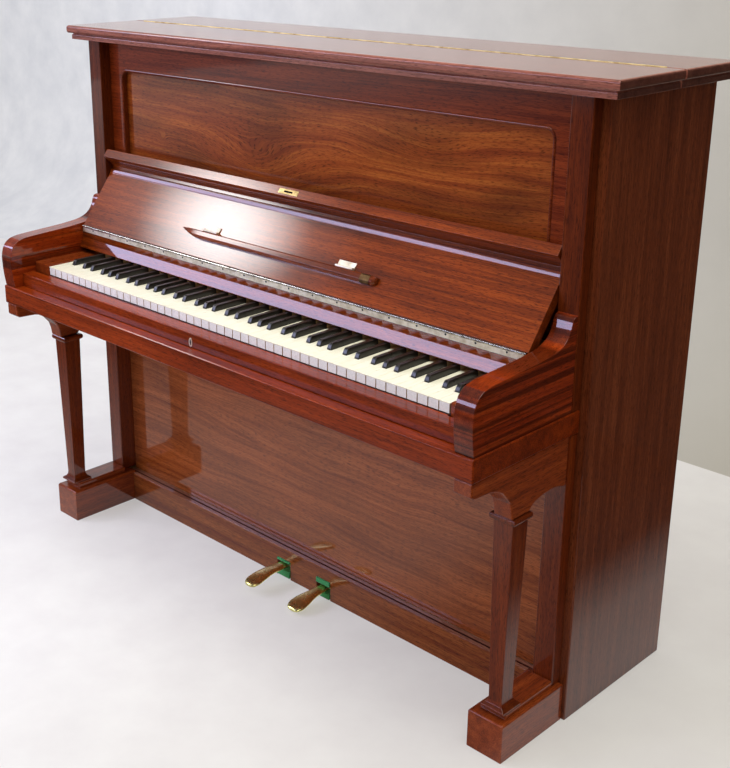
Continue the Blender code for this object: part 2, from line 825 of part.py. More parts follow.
def build_legs():
    """Each front leg: the scrolled bracket, the tapered square column and the long toe block."""
    top = KEYBED_BOTTOM - GAP
    bracket = [(BED_FRONT + y, top + z) for y, z in BRACKET_NOSE]
    bracket += [(LEG_Y + y, top + z) for y, z in BRACKET_SCROLL]
    bracket += [(PILASTER_SEAT, bracket[-1][1]), (PILASTER_SEAT, top)]
    foot = TOE_HEIGHT + 0.013
    head = top - BRACKET_DROP - GAP
    for sign in (-1, 1):
        name = side_name(sign)
        low, high = span(sign, ARM_IN, ARM_OUT)
        outline(name + "_leg_bracket", bracket, low, high, MAHOGANY, "YZ", 0.002)
        x = sign * LEG_X
        sections = (
            (0.0260, 0.0260, foot + GAP),
            (0.0260, 0.0260, foot + 0.004),
            (0.0235, 0.0240, foot + 0.006),
            (0.0185, 0.0200, foot + 0.009),
            (0.0155, 0.0170, foot + 0.014),
            (0.0145, 0.0160, foot + 0.020),
            (0.0205, 0.0215, head - 0.0140),
            (0.0225, 0.0235, head - 0.0125),
            (0.0250, 0.0250, head - 0.0115),
            (0.0270, 0.0270, head - 0.0085),
            (0.0270, 0.0270, head - 0.0030),
            (0.0250, 0.0250, head),
        )
        loft(name + "_leg_column", [square_ring(a, b, z, x) for a, b, z in sections], MAHOGANY)
        inner, outer = TOE_INNER, TOE_OUTER
        nose = LEG_Y - TOE_NOSE
        case = FRONT - GAP
        toe = (
            (inner, outer, nose, case, 0.0),
            (inner, outer, nose, case, TOE_HEIGHT - 0.003),
            (inner + 0.003, outer - 0.003, nose + 0.003, case - 0.002, TOE_HEIGHT),
            (inner + 0.012, outer - 0.009, nose + 0.021, PILASTER_SEAT, TOE_HEIGHT + 0.0002),
            (inner + 0.012, outer - 0.009, nose + 0.021, PILASTER_SEAT, foot - 0.0025),
            (inner + 0.0145, outer - 0.0115, nose + 0.0235, PILASTER_SEAT - 0.0012, foot),
        )
        rings = []
        for near, far, y0, y1, z in toe:
            x0, x1 = span(sign, near, far)
            rings.append(rectangle(x0, x1, y0, y1, z))
        loft(name + "_toe_block", rings, MAHOGANY)


# Pedals

PEDAL_TAIL = 0.012  # behind the stud
PEDAL_STATIONS = {
    "left": (
        (0.005, 0.033, 0.012, 0.0065),
        (-0.030, 0.034, 0.014, 0.0060),
        (-0.055, 0.035, 0.016, 0.0055),
        (-0.080, 0.033, 0.019, 0.0050),
        (-0.100, 0.029, 0.0205, 0.0048),
        (-0.112, 0.026, 0.017, 0.0042),
        (-0.119, 0.024, 0.010, 0.0030),
    ),
    "right": (
        (0.005, 0.026, 0.012, 0.0065),
        (-0.030, 0.024, 0.013, 0.0060),
        (-0.050, 0.023, 0.016, 0.0055),
        (-0.072, 0.020, 0.021, 0.0050),
        (-0.090, 0.016, 0.0225, 0.0048),
        (-0.101, 0.013, 0.018, 0.0042),
        (-0.107, 0.011, 0.010, 0.0030),
    ),
}  # in front of the case, height, half width and half height
LEVER_UNDER = BOARD_TOP + 0.007
LEVER_TOP = LEVER_UNDER + 0.020
LEVER_HALF = 0.008
HEEL_X = HALF_KEYS + 0.01075
HEEL_RADIUS = 0.015
REST_GAP = 0.0004  # play between stud, lever, rod and lug when nothing is pressed


def pedal_ring(x, y, z, half_width, half_height):
    """An eight-sided section of a pedal with rounded long edges."""
    a = half_width
    b = half_height
    corner = min(a, b) * 0.55
    shape = (
        (a - corner, -b),
        (a, -b + corner),
        (a, b - corner),
        (a - corner, b),
        (-a + corner, b),
        (-a, b - corner),
        (-a, -b + corner),
        (-a + corner, -b),
    )
    return [(x + dx, y, z + dz) for dx, dz in shape]


def build_pedals():
    """The two brass pedals with their lifting studs, each between the cheeks of its bracket."""
    y, z = PEDAL_PIVOT
    pivot_half = 0.011
    bracket_low = 0.024
    for name, x in PEDAL_X.items():
        stud_y = y + STUD_REACH[name]
        rings = [
            pedal_ring(x, stud_y + PEDAL_TAIL, z, 0.009, 0.005),
            pedal_ring(x, y, z, pivot_half, 0.008),
        ]
        for dy, height, wide, high in PEDAL_STATIONS[name]:
            rings.append(pedal_ring(x, FRONT + dy, height, wide, high))
        pedal = loft(name + "_pedal", rings, BRASS)
        stud_top = LEVER_UNDER - REST_GAP
        place = (x, stud_y, (z + stud_top) / 2)
        stud = rod(name + "_stud", place, STUD_RADIUS, stud_top - z, BRASS, "Z", 10)
        join_all(pedal, [stud])
        axis_empty(name + "_pedal_axis", (x, y, z), [pedal])
        slot = pivot_half + 0.0006
        out = slot + 0.008
        top = BOARD_UNDER - GAP
        shape = [
            (x - out, top),
            (x - out, bracket_low),
            (x - slot, bracket_low),
            (x - slot, top - 0.006),
            (x + slot, top - 0.006),
            (x + slot, bracket_low),
            (x + out, bracket_low),
            (x + out, top),
        ]
        outline(name + "_pedal_bracket", shape, y - 0.010, y + 0.010, IRON, "XZ")


def build_pedal_work():
    """The trap levers on the bottom board and the rods that carry each pedal's stroke up to the action."""
    heel_z = BOARD_TOP + GAP + HEEL_RADIUS
    tops = {"left": HAMMER_LUG_Z, "right": DAMPER_LUG_Z}
    for name in PEDAL_X:
        y = PEDAL_PIVOT[0] + STUD_REACH[name]
        rod_x, rod_y = ROD_PLACE[name]
        end = (rod_x - 0.012, rod_x + 0.012)
        height = (LEVER_UNDER, LEVER_TOP)
        depth = (y - LEVER_HALF, y + LEVER_HALF)
        lever = box(name + "_trap_lever", (end[0], HEEL_X), depth, height, BEECH)
        heel = (HEEL_X, y, heel_z)
        pieces = [rod(name + "_heel", heel, HEEL_RADIUS, 2 * LEVER_HALF, BEECH, "Y", 16)]
        if rod_y > y + LEVER_HALF:
            pieces.append(box(name + "_lever_lug", end, (y, rod_y + LEVER_HALF), height, BEECH))
        join_all(lever, pieces)
        axis_empty(name + "_lever_axis", heel, [lever])
        low = LEVER_TOP + REST_GAP
        high = tops[name] - REST_GAP
        pin = 0.002
        profile = (
            (0.0, high),
            (pin, high),
            (pin, high - 0.012),
            (ROD_RADIUS, high - 0.013),
            (ROD_RADIUS, low + 0.013),
            (pin, low + 0.012),
            (pin, low),
            (0.0, low),
        )
        turned(name + "_lift_rod", profile, (rod_x, rod_y), BEECH)


# Action

NOTES = 85
DAMPED_NOTES = 62
STRING_HALF = HALF_KEYS + 0.01075  # from the middle to the outermost note's strings
STRING_PLANE = BACK_FRAME_FRONT - 0.032
HAMMER_AXIS = (STRING_PLANE - 0.088, BED_TOP + 0.171)
DAMPER_AXIS = (STRING_PLANE - 0.078, BED_TOP + 0.141)
HAMMER_LUG_Z = HAMMER_AXIS[1] - 0.010
DAMPER_LUG_Z = DAMPER_AXIS[1] - 0.010
ACTION_HALF = SIDE_IN - 0.0006
HAMMER_WIDTH = 0.0075
DAMPER_WIDTH = 0.005
LUG_HALF = 0.008  # round the top of a lift rod
HAMMER_PROFILE = (
    (-0.008, -0.004),
    (0.006, -0.004),
    (0.0005, 0.014),
    (0.0005, 0.113),
    (0.030, 0.122),
    (0.043, 0.129),
    (0.030, 0.138),
    (-0.006, 0.142),
)
DAMPER_PROFILE = (
    (-0.001, -0.0025),
    (0.0620, -0.0025),
    (0.0620, 0.070),
    (0.0775, 0.072),
    (0.0775, 0.104),
    (0.0590, 0.108),
    (0.0590, 0.0015),
    (-0.001, 0.0015),
)


def note_x(note):
    """The place of a note's strings along the piano."""
    return -STRING_HALF + 2 * STRING_HALF * note / (NOTES - 1)


def note_piece(name, note, profile, axis, width):
    """One note's part of the action, from its outline about the axis that it turns on."""
    x = note_x(note)
    points = [(axis[0] + y, axis[1] + z) for y, z in profile]
    return outline(name, points, x - width / 2, x + width / 2, BEECH)


def build_action():
    """The hammers on the rest rail that the soft pedal swings, and the dampers on their lifting rail."""
    y, z = HAMMER_AXIS
    wide = (-ACTION_HALF, ACTION_HALF)
    rail = box("hammer_rail", wide, (y - 0.0195, y - 0.0035), (z + 0.072, z + 0.092), BEECH)
    pieces = []
    for note in range(NOTES):
        name = "hammer_%02d" % note
        pieces.append(note_piece(name, note, HAMMER_PROFILE, HAMMER_AXIS, HAMMER_WIDTH))
    for sign in (-1, 1):
        arm = span(sign, ACTION_HALF - 0.012, ACTION_HALF)
        name = side_name(sign) + "_rail_arm"
        pieces.append(box(name, arm, (y - 0.010, y + 0.010), (z - 0.010, z + 0.085), BEECH))
    rod_x, rod_y = ROD_PLACE["left"]
    reach = (min(rod_y, y) - LUG_HALF, max(rod_y, y))
    height = (HAMMER_LUG_Z, HAMMER_LUG_Z + 0.008)
    pieces.append(box("hammer_lug", (-ACTION_HALF, rod_x + LUG_HALF), reach, height, BEECH))
    join_all(rail, pieces)
    axis_empty("hammer_axis", (0.0, y, z), [rail])

    y, z = DAMPER_AXIS
    bar = rod("damper_rail", (0.0, y, z), 0.004, 2 * ACTION_HALF, BEECH, "X", 8)
    pieces = []
    for note in range(DAMPED_NOTES):
        name = "damper_%02d" % note
        pieces.append(note_piece(name, note, DAMPER_PROFILE, DAMPER_AXIS, DAMPER_WIDTH))
    rod_x, rod_y = ROD_PLACE["right"]
    reach = (y - 0.006, rod_y + LUG_HALF)
    height = (DAMPER_LUG_Z, DAMPER_LUG_Z + 0.0075)
    pieces.append(box("damper_lug", (-ACTION_HALF, rod_x + LUG_HALF), reach, height, BEECH))
    join_all(bar, pieces)
    axis_empty("damper_axis", (0.0, y, z), [bar])


# Back and strung frame

POST_DEPTH = 0.066
BACK_INSET = 0.004  # posts in front of the back edge of the sides
POST_HALF = 0.035
MIDDLE_POST = 0.225
BOARD_THICKNESS = 0.008
PLANK_FRONT = STRING_PLANE + 0.0015
IRON_THICKNESS = 0.012
IRON_HALF = SIDE_IN - 0.045
STRUT_HALF = 0.018
BREAKS = (0.0, 0.330)  # struts between the iron frame's windows
RIBS = 7
RIB_SPACING = 0.210
RIB_SLOPE = math.radians(50)
RIB_WIDTH = 0.020
RIB_HEIGHT = 0.012


def rib_ends(x, z, half, low, high):
    """Where a sloping line through a point meets the free part of the soundboard."""
    run, rise = math.cos(RIB_SLOPE), math.sin(RIB_SLOPE)
    start = max((-half - x) / run, (low - z) / rise)
    stop = min((half - x) / run, (high - z) / rise)
    return [(x + t * run, z + t * rise) for t in (start, stop)]


def rib(name, ends, face):
    """One rib across the back of the soundboard."""
    (x0, z0), (x1, z1) = ends
    inset = RIB_WIDTH
    half_length = math.hypot(x1 - x0, z1 - z0) / 2 - inset
    depth = (face, face + RIB_HEIGHT + 0.001)
    piece = box(name, (-half_length, half_length), depth, (-RIB_WIDTH / 2, RIB_WIDTH / 2), SPRUCE)
    piece.rotation_euler = (0.0, -RIB_SLOPE, 0.0)
    piece.location = ((x0 + x1) / 2, piece.location.y, (z0 + z1) / 2)
    return piece


def build_back():
    """The back frame, the soundboard with its ribs, the wrest plank and the iron frame."""
    wide = SIDE_IN - GAP
    rail_low = (0.030, 0.150)
    rail_high = (SIDE_HEIGHT - 0.115, SIDE_HEIGHT - 0.004)
    rear = BACK - BACK_INSET
    frame = box("back_frame", (-wide, wide), (BACK_FRAME_FRONT, rear), rail_low, SPRUCE)
    pieces = [box("back_top_rail", (-wide, wide), (BACK_FRAME_FRONT, rear), rail_high, SPRUCE)]
    outer = wide - POST_HALF
    height = (rail_low[1] - 0.01, rail_high[0] + 0.01)
    for sign in (-1, 1):
        for place, front in ((outer, BACK_FRAME_FRONT), (MIDDLE_POST, BACK - POST_DEPTH)):
            name = "%s_post_%d" % (side_name(sign), 1000 * place)
            width = span(sign, place - POST_HALF, place + POST_HALF)
            pieces.append(box(name, width, (front, rear), height, SPRUCE))
    join_all(frame, pieces)

    board = box(
        "soundboard",
        (-wide + 0.004, wide - 0.004),
        (BOARD_FACE - BOARD_THICKNESS, BOARD_FACE),
        (0.085, PLANK_LOW - GAP),
        SPRUCE,
    )
    low, high = rail_low[1] + 0.012, PLANK_LOW - 0.012
    half = outer - POST_HALF - 0.010
    ribs = []
    for i in range(RIBS):
        x = (i - (RIBS - 1) / 2) * RIB_SPACING
        ends = rib_ends(x, (low + high) / 2, half, low, high)
        ribs.append(rib("rib_%d" % i, ends, BOARD_FACE - 0.001))
    join_all(board, ribs)
    height = (PLANK_LOW, SIDE_HEIGHT - 0.006)
    box("wrest_plank", (-wide, wide), (PLANK_FRONT, BOARD_FACE), height, BEECH, 0.001)

    face = BOARD_FACE - BOARD_THICKNESS - GAP
    height = (0.100, PLANK_LOW - 2 * GAP)
    plate = box("iron_frame", (-IRON_HALF, IRON_HALF), (face - IRON_THICKNESS, face), height, IRON)
    edge = IRON_HALF - 0.030
    struts = (-edge, -BREAKS[1], BREAKS[0], BREAKS[1], edge)
    low, high = 0.330, PLANK_LOW - 0.050
    for i, (a, b) in enumerate(zip(struts, struts[1:])):
        window = rounded_rectangle(a + STRUT_HALF, b - STRUT_HALF, low, high, 0.030, 3)
        depth = (face - 0.03, face + 0.01)
        name = "frame_window_%d" % i
        boolean(plate, outline(name, window, *depth, IRON, "XZ", collection=TOOLS))


def main():
    """Build the piano."""
    clear_scene()
    build_sides()
    build_top_door()
    build_lower_case()
    build_lid()
    build_bed()
    build_arms()
    build_keys()
    build_fall()
    build_legs()
    build_pedals()
    build_pedal_work()
    build_action()
    build_back()


main()
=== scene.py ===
"""Looks of the upright piano: finishes, detailed keys, mouldings, lights and the photograph's camera.

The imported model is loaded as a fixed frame, in metres, with the keyboard towards -Y, the floor at z = 0 and the
origin in the middle of the width and depth.
"""

import json
import logging
import math
from dataclasses import dataclass, field
from enum import Enum

import bmesh
import bpy
from mathutils import Matrix, Vector

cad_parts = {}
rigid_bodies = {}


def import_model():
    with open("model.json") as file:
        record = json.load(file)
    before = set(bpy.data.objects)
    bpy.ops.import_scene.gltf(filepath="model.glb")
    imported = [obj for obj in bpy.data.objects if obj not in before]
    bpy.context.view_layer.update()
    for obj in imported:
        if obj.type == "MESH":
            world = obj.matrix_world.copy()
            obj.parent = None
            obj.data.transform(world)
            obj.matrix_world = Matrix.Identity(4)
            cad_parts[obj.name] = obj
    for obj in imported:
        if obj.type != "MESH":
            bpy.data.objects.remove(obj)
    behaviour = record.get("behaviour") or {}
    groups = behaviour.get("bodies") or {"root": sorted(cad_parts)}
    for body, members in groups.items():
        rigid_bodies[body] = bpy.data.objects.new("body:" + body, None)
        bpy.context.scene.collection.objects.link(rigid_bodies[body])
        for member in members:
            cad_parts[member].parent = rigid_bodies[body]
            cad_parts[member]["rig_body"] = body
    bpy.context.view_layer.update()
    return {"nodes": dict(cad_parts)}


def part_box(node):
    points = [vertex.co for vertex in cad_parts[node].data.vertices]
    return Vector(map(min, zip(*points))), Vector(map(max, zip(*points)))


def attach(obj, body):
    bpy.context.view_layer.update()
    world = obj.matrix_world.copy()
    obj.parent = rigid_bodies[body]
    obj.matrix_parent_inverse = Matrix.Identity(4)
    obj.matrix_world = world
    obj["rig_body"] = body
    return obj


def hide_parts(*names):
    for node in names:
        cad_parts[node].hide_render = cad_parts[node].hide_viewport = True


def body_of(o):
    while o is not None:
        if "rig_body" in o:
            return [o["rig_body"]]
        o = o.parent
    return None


LOG = logging.getLogger("piano")
MM = 0.001
Point = tuple[float, float, float]
Point2 = tuple[float, float]


class Axis(Enum):
    """A direction of the frame, as an index into a vector."""

    X = 0
    Y = 1
    Z = 2


def linear(code: str) -> tuple[float, float, float, float]:
    """Turn an sRGB hex colour into a linear one.

    Args:
        code: Six hex digits.

    Returns:
        Red, green, blue and alpha.
    """
    parts = [int(code[i : i + 2], 16) / 255 for i in (0, 2, 4)]
    curve = [c / 12.92 if c <= 0.04045 else ((c + 0.055) / 1.055) ** 2.4 for c in parts]
    return (curve[0], curve[1], curve[2], 1.0)


def add(tree: bpy.types.NodeTree, kind: str, settings: dict[str, object], links: dict[str, object]) -> bpy.types.Node:
    """Add one shader node.

    Args:
        tree: The node tree.
        kind: The node's type name, without its ShaderNode prefix.
        settings: Values by name, for the node's own settings or for its input sockets.
        links: Output sockets by the name or number of the input they feed.

    Returns:
        The new node.
    """
    node = tree.nodes.new("ShaderNode" + kind)
    for name, value in settings.items():
        if isinstance(name, int) or name in node.inputs:
            node.inputs[name].default_value = value
        else:
            setattr(node, name, value)
    for name, socket in links.items():
        tree.links.new(socket, node.inputs[name])
    return node


def ramp(node: bpy.types.Node, stops: list[tuple[float, str]]) -> None:
    """Set a colour ramp's stops.

    Args:
        node: The ramp node.
        stops: Position and hex colour of each stop, in rising order.
    """
    band = node.color_ramp
    while len(band.elements) > 2:
        band.elements.remove(band.elements[-1])
    while len(band.elements) < len(stops):
        band.elements.new(0.5)
    for element, (place, code) in zip(band.elements, stops):
        element.position = place
        element.color = linear(code)


class Finish:
    """A surface finish that builds its material once."""

    def make(self) -> bpy.types.Material:
        """Build the material."""
        raise NotImplementedError

    def blank(self, name: str) -> tuple[bpy.types.Material, bpy.types.NodeTree, bpy.types.Node]:
        """Start a material.

        Args:
            name: The material's name.

        Returns:
            The material, its tree and its Principled shader.
        """
        material = bpy.data.materials.new(name)
        material.use_nodes = True
        tree = material.node_tree
        return material, tree, tree.nodes["Principled BSDF"]


class Figure(Enum):
    """What the cut of the veneer shows besides its growth lines."""

    STRAIGHT = "straight"
    RIBBON = "ribbon"
    CLOUDED = "clouded"


@dataclass(frozen=True)
class PolishedWood(Finish):
    """French-polished mahogany: long grain under a clear film of shellac that mirrors the room."""

    name: str
    grain: Axis
    dark: str
    middle: str
    light: str
    figure: Figure = Figure.STRAIGHT
    depth: float = 0.35
    ends: float = 0.72
    polish: float = 1.0

    def place(self, tree: bpy.types.NodeTree) -> bpy.types.NodeSocket:
        """Return the place that the grain is read from.

        Args:
            tree: The node tree.
        """
        return add(tree, "TexCoord", {}, {}).outputs["Object"]

    def drawn(
        self, tree: bpy.types.NodeTree, place: bpy.types.NodeSocket, across: float, along: float
    ) -> bpy.types.NodeSocket:
        """Stretch a place along the grain, and shift it so that no two boards share their figure.

        Args:
            tree: The node tree.
            place: The place on the board.
            across: The pattern's size across the grain, in millimetres.
            along: Its size along the grain, in millimetres.

        Returns:
            The stretched place.
        """
        scale = [1 / (across * MM)] * 3
        scale[self.grain.value] = 1 / (along * MM)
        board = add(tree, "ObjectInfo", {}, {})
        shift = add(tree, "Math", {"operation": "MULTIPLY", 1: 37.0}, {0: board.outputs["Random"]})
        links = {"Vector": place, "Location": shift.outputs["Value"]}
        return add(tree, "Mapping", {"Scale": scale}, links).outputs["Vector"]

    def pattern(self, tree: bpy.types.NodeTree, place: bpy.types.NodeSocket) -> bpy.types.NodeSocket | None:
        """Return the figure as a value from 0, where it darkens the wood, to 1.

        Args:
            tree: The node tree.
            place: The place on the board.
        """
        if self.figure is Figure.STRAIGHT:
            return None
        # Interlocked grain shows dark ribbons that run the board's length, and clouds are broader and soft.
        ribbon = self.figure is Figure.RIBBON
        if ribbon:
            # The ribbons lie level through the whole thickness, so the end shows them too.
            scale = [1 / (1100 * MM), 1 / (1100 * MM), 1 / (10 * MM)]
            vector = add(tree, "Mapping", {"Scale": scale}, {"Vector": place}).outputs["Vector"]
        else:
            vector = self.drawn(tree, place, 90, 300)
        wave = add(tree, "TexNoise", {"Scale": 1.0, "Detail": 2.0, "Roughness": 0.5}, {"Vector": vector})
        limits = {"From Min": 0.40, "From Max": 0.53} if ribbon else {"From Min": 0.35, "From Max": 0.62}
        return add(tree, "MapRange", limits, {"Value": wave.outputs["Fac"]}).outputs["Result"]

    def make(self) -> bpy.types.Material:
        """Build the veneer."""
        material, tree, shader = self.blank(self.name)
        place = self.place(tree)
        # Growth lines lie about 7 mm apart, with fine streaks between them, and run forty times as far along.
        lines = add(
            tree,
            "TexNoise",
            {"Scale": 1.0, "Detail": 5.0, "Roughness": 0.60, "Distortion": 0.25},
            {"Vector": self.drawn(tree, place, 15, 520)},
        )
        streaks = add(
            tree,
            "TexNoise",
            {"Scale": 1.0, "Detail": 3.0, "Roughness": 0.6},
            {"Vector": self.drawn(tree, place, 2.6, 120)},
        )
        tone = add(
            tree,
            "Mix",
            {"data_type": "FLOAT", "Factor": 0.42},
            {2: lines.outputs["Fac"], 3: streaks.outputs["Fac"]},
        )
        colour = add(tree, "ValToRGB", {}, {"Fac": tone.outputs[0]})
        ramp(colour, [(0.38, self.dark), (0.50, self.middle), (0.62, self.light)])
        paint = colour.outputs["Color"]
        figure = self.pattern(tree, place)
        if figure is not None:
            shade = add(tree, "MapRange", {"To Min": 1.0 - self.depth, "To Max": 1.0}, {"Value": figure})
            toned = add(
                tree,
                "Mix",
                {"data_type": "RGBA", "blend_type": "MULTIPLY", "Factor": 1.0},
                {6: paint, 7: shade.outputs["Result"]},
            )
            paint = toned.outputs[2]
        # End grain soaks up more stain, so the sawn ends of a board are darker than its faces.
        facing = add(tree, "SeparateXYZ", {}, {0: add(tree, "TexCoord", {}, {}).outputs["Normal"]})
        end = add(tree, "Math", {"operation": "ABSOLUTE"}, {0: facing.outputs[self.grain.value]})
        limits = {"From Min": 0.5, "From Max": 0.9, "To Min": 1.0, "To Max": self.ends}
        stain = add(tree, "MapRange", limits, {"Value": end.outputs["Value"]})
        sawn = {"data_type": "RGBA", "blend_type": "MULTIPLY", "Factor": 1.0}
        paint = add(tree, "Mix", sawn, {6: paint, 7: stain.outputs["Result"]}).outputs[2]
        # Open pores are 0.3 mm wide and filled dark. They are drawn 1.2 mm wide so that they show.
        pores = add(
            tree,
            "TexNoise",
            {"Scale": 1.0, "Detail": 2.0, "Roughness": 0.6},
            {"Vector": self.drawn(tree, place, 1.2, 14)},
        )
        filled = add(tree, "ValToRGB", {}, {"Fac": pores.outputs["Fac"]})
        ramp(filled, [(0.36, "9A8E8A"), (0.47, "FFFFFF")])
        tinted = add(
            tree,
            "Mix",
            {"data_type": "RGBA", "blend_type": "MULTIPLY", "Factor": 0.8},
            {6: paint, 7: filled.outputs["Color"]},
        )
        tree.links.new(tinted.outputs[2], shader.inputs["Base Color"])
        # Old shellac has sunk into the grain by a hair, so straight reflections waver along it.
        sunk = add(
            tree,
            "TexNoise",
            {"Scale": 1.0, "Detail": 1.0},
            {"Vector": self.drawn(tree, place, 28, 160)},
        )
        bump = add(tree, "Bump", {"Strength": 0.03, "Distance": 0.0015}, {"Height": sunk.outputs["Fac"]})
        tree.links.new(bump.outputs["Normal"], shader.inputs["Coat Normal"])
        shader.inputs["Roughness"].default_value = 0.42
        shader.inputs["Specular IOR Level"].default_value = 0.06
        shader.inputs["Coat Weight"].default_value = self.polish
        shader.inputs["Coat Roughness"].default_value = 0.045
        shader.inputs["Coat IOR"].default_value = 1.50
        return material


@dataclass(frozen=True)
class FiguredWood(PolishedWood):
    """Veneer whose growth lines part and close round eyes, as they do where a branch grew."""

    eyes: tuple[tuple[float, ...], ...] = ()

    def place(self, tree: bpy.types.NodeTree) -> bpy.types.NodeSocket:
        """Lift the grain over every eye, so that its lines run round it.

        Args:
            tree: The node tree.
        """
        place = super().place(tree)
        parts = add(tree, "SeparateXYZ", {}, {0: place})
        # Slow waves of some 50 mm keep the lines between the eyes from running dead straight.
        slow = add(tree, "Mapping", {"Scale": (1 / (420 * MM), 1.0, 1 / (130 * MM))}, {"Vector": place})
        wave = add(tree, "TexNoise", {"Scale": 1.0, "Detail": 2.0}, {"Vector": slow.outputs["Vector"]})
        height = add(
            tree,
            "Math",
            {"operation": "MULTIPLY_ADD", 1: 60 * MM},
            {0: wave.outputs["Fac"], 2: parts.outputs["Z"]},
        )
        for x, z, wide, high, rise in self.eyes:
            settings = {
                "Location": (-x / wide, 0.0, -z / high),
                "Scale": (1000 / wide, 0.0, 1000 / high),
            }
            away = add(tree, "Mapping", settings, {"Vector": place})
            reach = add(tree, "VectorMath", {"operation": "LENGTH"}, {0: away.outputs["Vector"]})
            square = add(
                tree, "Math", {"operation": "POWER", 1: 2.0}, {0: reach.outputs["Value"]}
            )
            falling = add(tree, "Math", {"operation": "MULTIPLY", 1: -1.0}, {0: square.outputs["Value"]})
            hill = add(tree, "Math", {"operation": "EXPONENT"}, {0: falling.outputs["Value"]})
            height = add(
                tree,
                "Math",
                {"operation": "MULTIPLY_ADD", 1: rise * MM},
                {0: hill.outputs["Value"], 2: height.outputs["Value"]},
            )
        joined = add(
            tree,
            "CombineXYZ",
            {},
            {0: parts.outputs["X"], 1: parts.outputs["Y"], 2: height.outputs["Value"]},
        )
        return joined.outputs["Vector"]


@dataclass(frozen=True)
class PlainWood(Finish):
    """Bare or oiled timber for what the polish never reached: straight grain and no gloss."""

    name: str
    grain: Axis
    dark: str
    light: str
    roughness: float = 0.6

    def make(self) -> bpy.types.Material:
        """Build the timber."""
        material, tree, shader = self.blank(self.name)
        place = add(tree, "TexCoord", {}, {}).outputs["Object"]
        scale = [1 / (5 * MM)] * 3
        scale[self.grain.value] = 1 / (220 * MM)
        bands = add(tree, "Mapping", {"Scale": scale}, {"Vector": place})
        lines = add(tree, "TexNoise", {"Scale": 1.0, "Detail": 5.0, "Roughness": 0.6}, {"Vector": bands.outputs["Vector"]})
        colour = add(tree, "ValToRGB", {}, {"Fac": lines.outputs["Fac"]})
        ramp(colour, [(0.35, self.dark), (0.65, self.light)])
        tree.links.new(colour.outputs["Color"], shader.inputs["Base Color"])
        bump = add(tree, "Bump", {"Strength": 0.15, "Distance": 0.0006}, {"Height": lines.outputs["Fac"]})
        tree.links.new(bump.outputs["Normal"], shader.inputs["Normal"])
        shader.inputs["Roughness"].default_value = self.roughness
        return material


@dataclass(frozen=True)
class KeySkin(Finish):
    """Ivory or ebony: a dense, hand-polished face with faint lines and a soft shine."""

    name: str
    base: str
    shade: str
    roughness: float

    def make(self) -> bpy.types.Material:
        """Build the key covering."""
        material, tree, shader = self.blank(self.name)
        place = add(tree, "TexCoord", {}, {}).outputs["Object"]
        drawn = add(tree, "Mapping", {"Scale": (1 / (3 * MM), 1 / (60 * MM), 1 / (3 * MM))}, {"Vector": place})
        lines = add(tree, "TexNoise", {"Scale": 1.0, "Detail": 3.0}, {"Vector": drawn.outputs["Vector"]})
        colour = add(tree, "ValToRGB", {}, {"Fac": lines.outputs["Fac"]})
        ramp(colour, [(0.30, self.shade), (0.62, self.base)])
        tree.links.new(colour.outputs["Color"], shader.inputs["Base Color"])
        worn = add(tree, "TexNoise", {"Scale": 60.0, "Detail": 4.0}, {"Vector": place})
        rough = add(
            tree,
            "MapRange",
            {"To Min": self.roughness * 0.7, "To Max": self.roughness * 1.4},
            {"Value": worn.outputs["Fac"]},
        )
        tree.links.new(rough.outputs["Result"], shader.inputs["Roughness"])
        shader.inputs["IOR"].default_value = 1.54
        return material


@dataclass(frozen=True)
class Metal(Finish):
    """Cast or rolled metal: fine scratches in the polish and duller patches where hands and air reach it."""

    name: str
    base: str
    tarnish: str
    roughness: float

    def make(self) -> bpy.types.Material:
        """Build the metal."""
        material, tree, shader = self.blank(self.name)
        place = add(tree, "TexCoord", {}, {}).outputs["Object"]
        cloud = add(tree, "TexNoise", {"Scale": 1 / (18 * MM), "Detail": 5.0, "Roughness": 0.6}, {"Vector": place})
        colour = add(tree, "ValToRGB", {}, {"Fac": cloud.outputs["Fac"]})
        ramp(colour, [(0.30, self.tarnish), (0.58, self.base)])
        tree.links.new(colour.outputs["Color"], shader.inputs["Base Color"])
        rough = add(
            tree,
            "MapRange",
            {"To Min": self.roughness * 1.5, "To Max": self.roughness * 0.8},
            {"Value": cloud.outputs["Fac"]},
        )
        tree.links.new(rough.outputs["Result"], shader.inputs["Roughness"])
        grit = add(tree, "TexNoise", {"Scale": 1 / (0.8 * MM), "Detail": 2.0}, {"Vector": place})
        bump = add(tree, "Bump", {"Strength": 0.06, "Distance": 0.0002}, {"Height": grit.outputs["Fac"]})
        tree.links.new(bump.outputs["Normal"], shader.inputs["Normal"])
        shader.inputs["Metallic"].default_value = 1.0
        return material


@dataclass(frozen=True)
class Felt(Finish):
    """Pressed wool felt: no shine, a fuzzy rim light and a mottled nap."""

    name: str
    base: str
    shade: str

    def make(self) -> bpy.types.Material:
        """Build the felt."""
        material, tree, shader = self.blank(self.name)
        place = add(tree, "TexCoord", {}, {}).outputs["Object"]
        nap = add(tree, "TexNoise", {"Scale": 1 / (1.5 * MM), "Detail": 4.0}, {"Vector": place})
        colour = add(tree, "ValToRGB", {}, {"Fac": nap.outputs["Fac"]})
        ramp(colour, [(0.35, self.shade), (0.65, self.base)])
        tree.links.new(colour.outputs["Color"], shader.inputs["Base Color"])
        bump = add(tree, "Bump", {"Strength": 0.5, "Distance": 0.0006}, {"Height": nap.outputs["Fac"]})
        tree.links.new(bump.outputs["Normal"], shader.inputs["Normal"])
        shader.inputs["Roughness"].default_value = 0.95
        shader.inputs["Sheen Weight"].default_value = 0.4
        return material


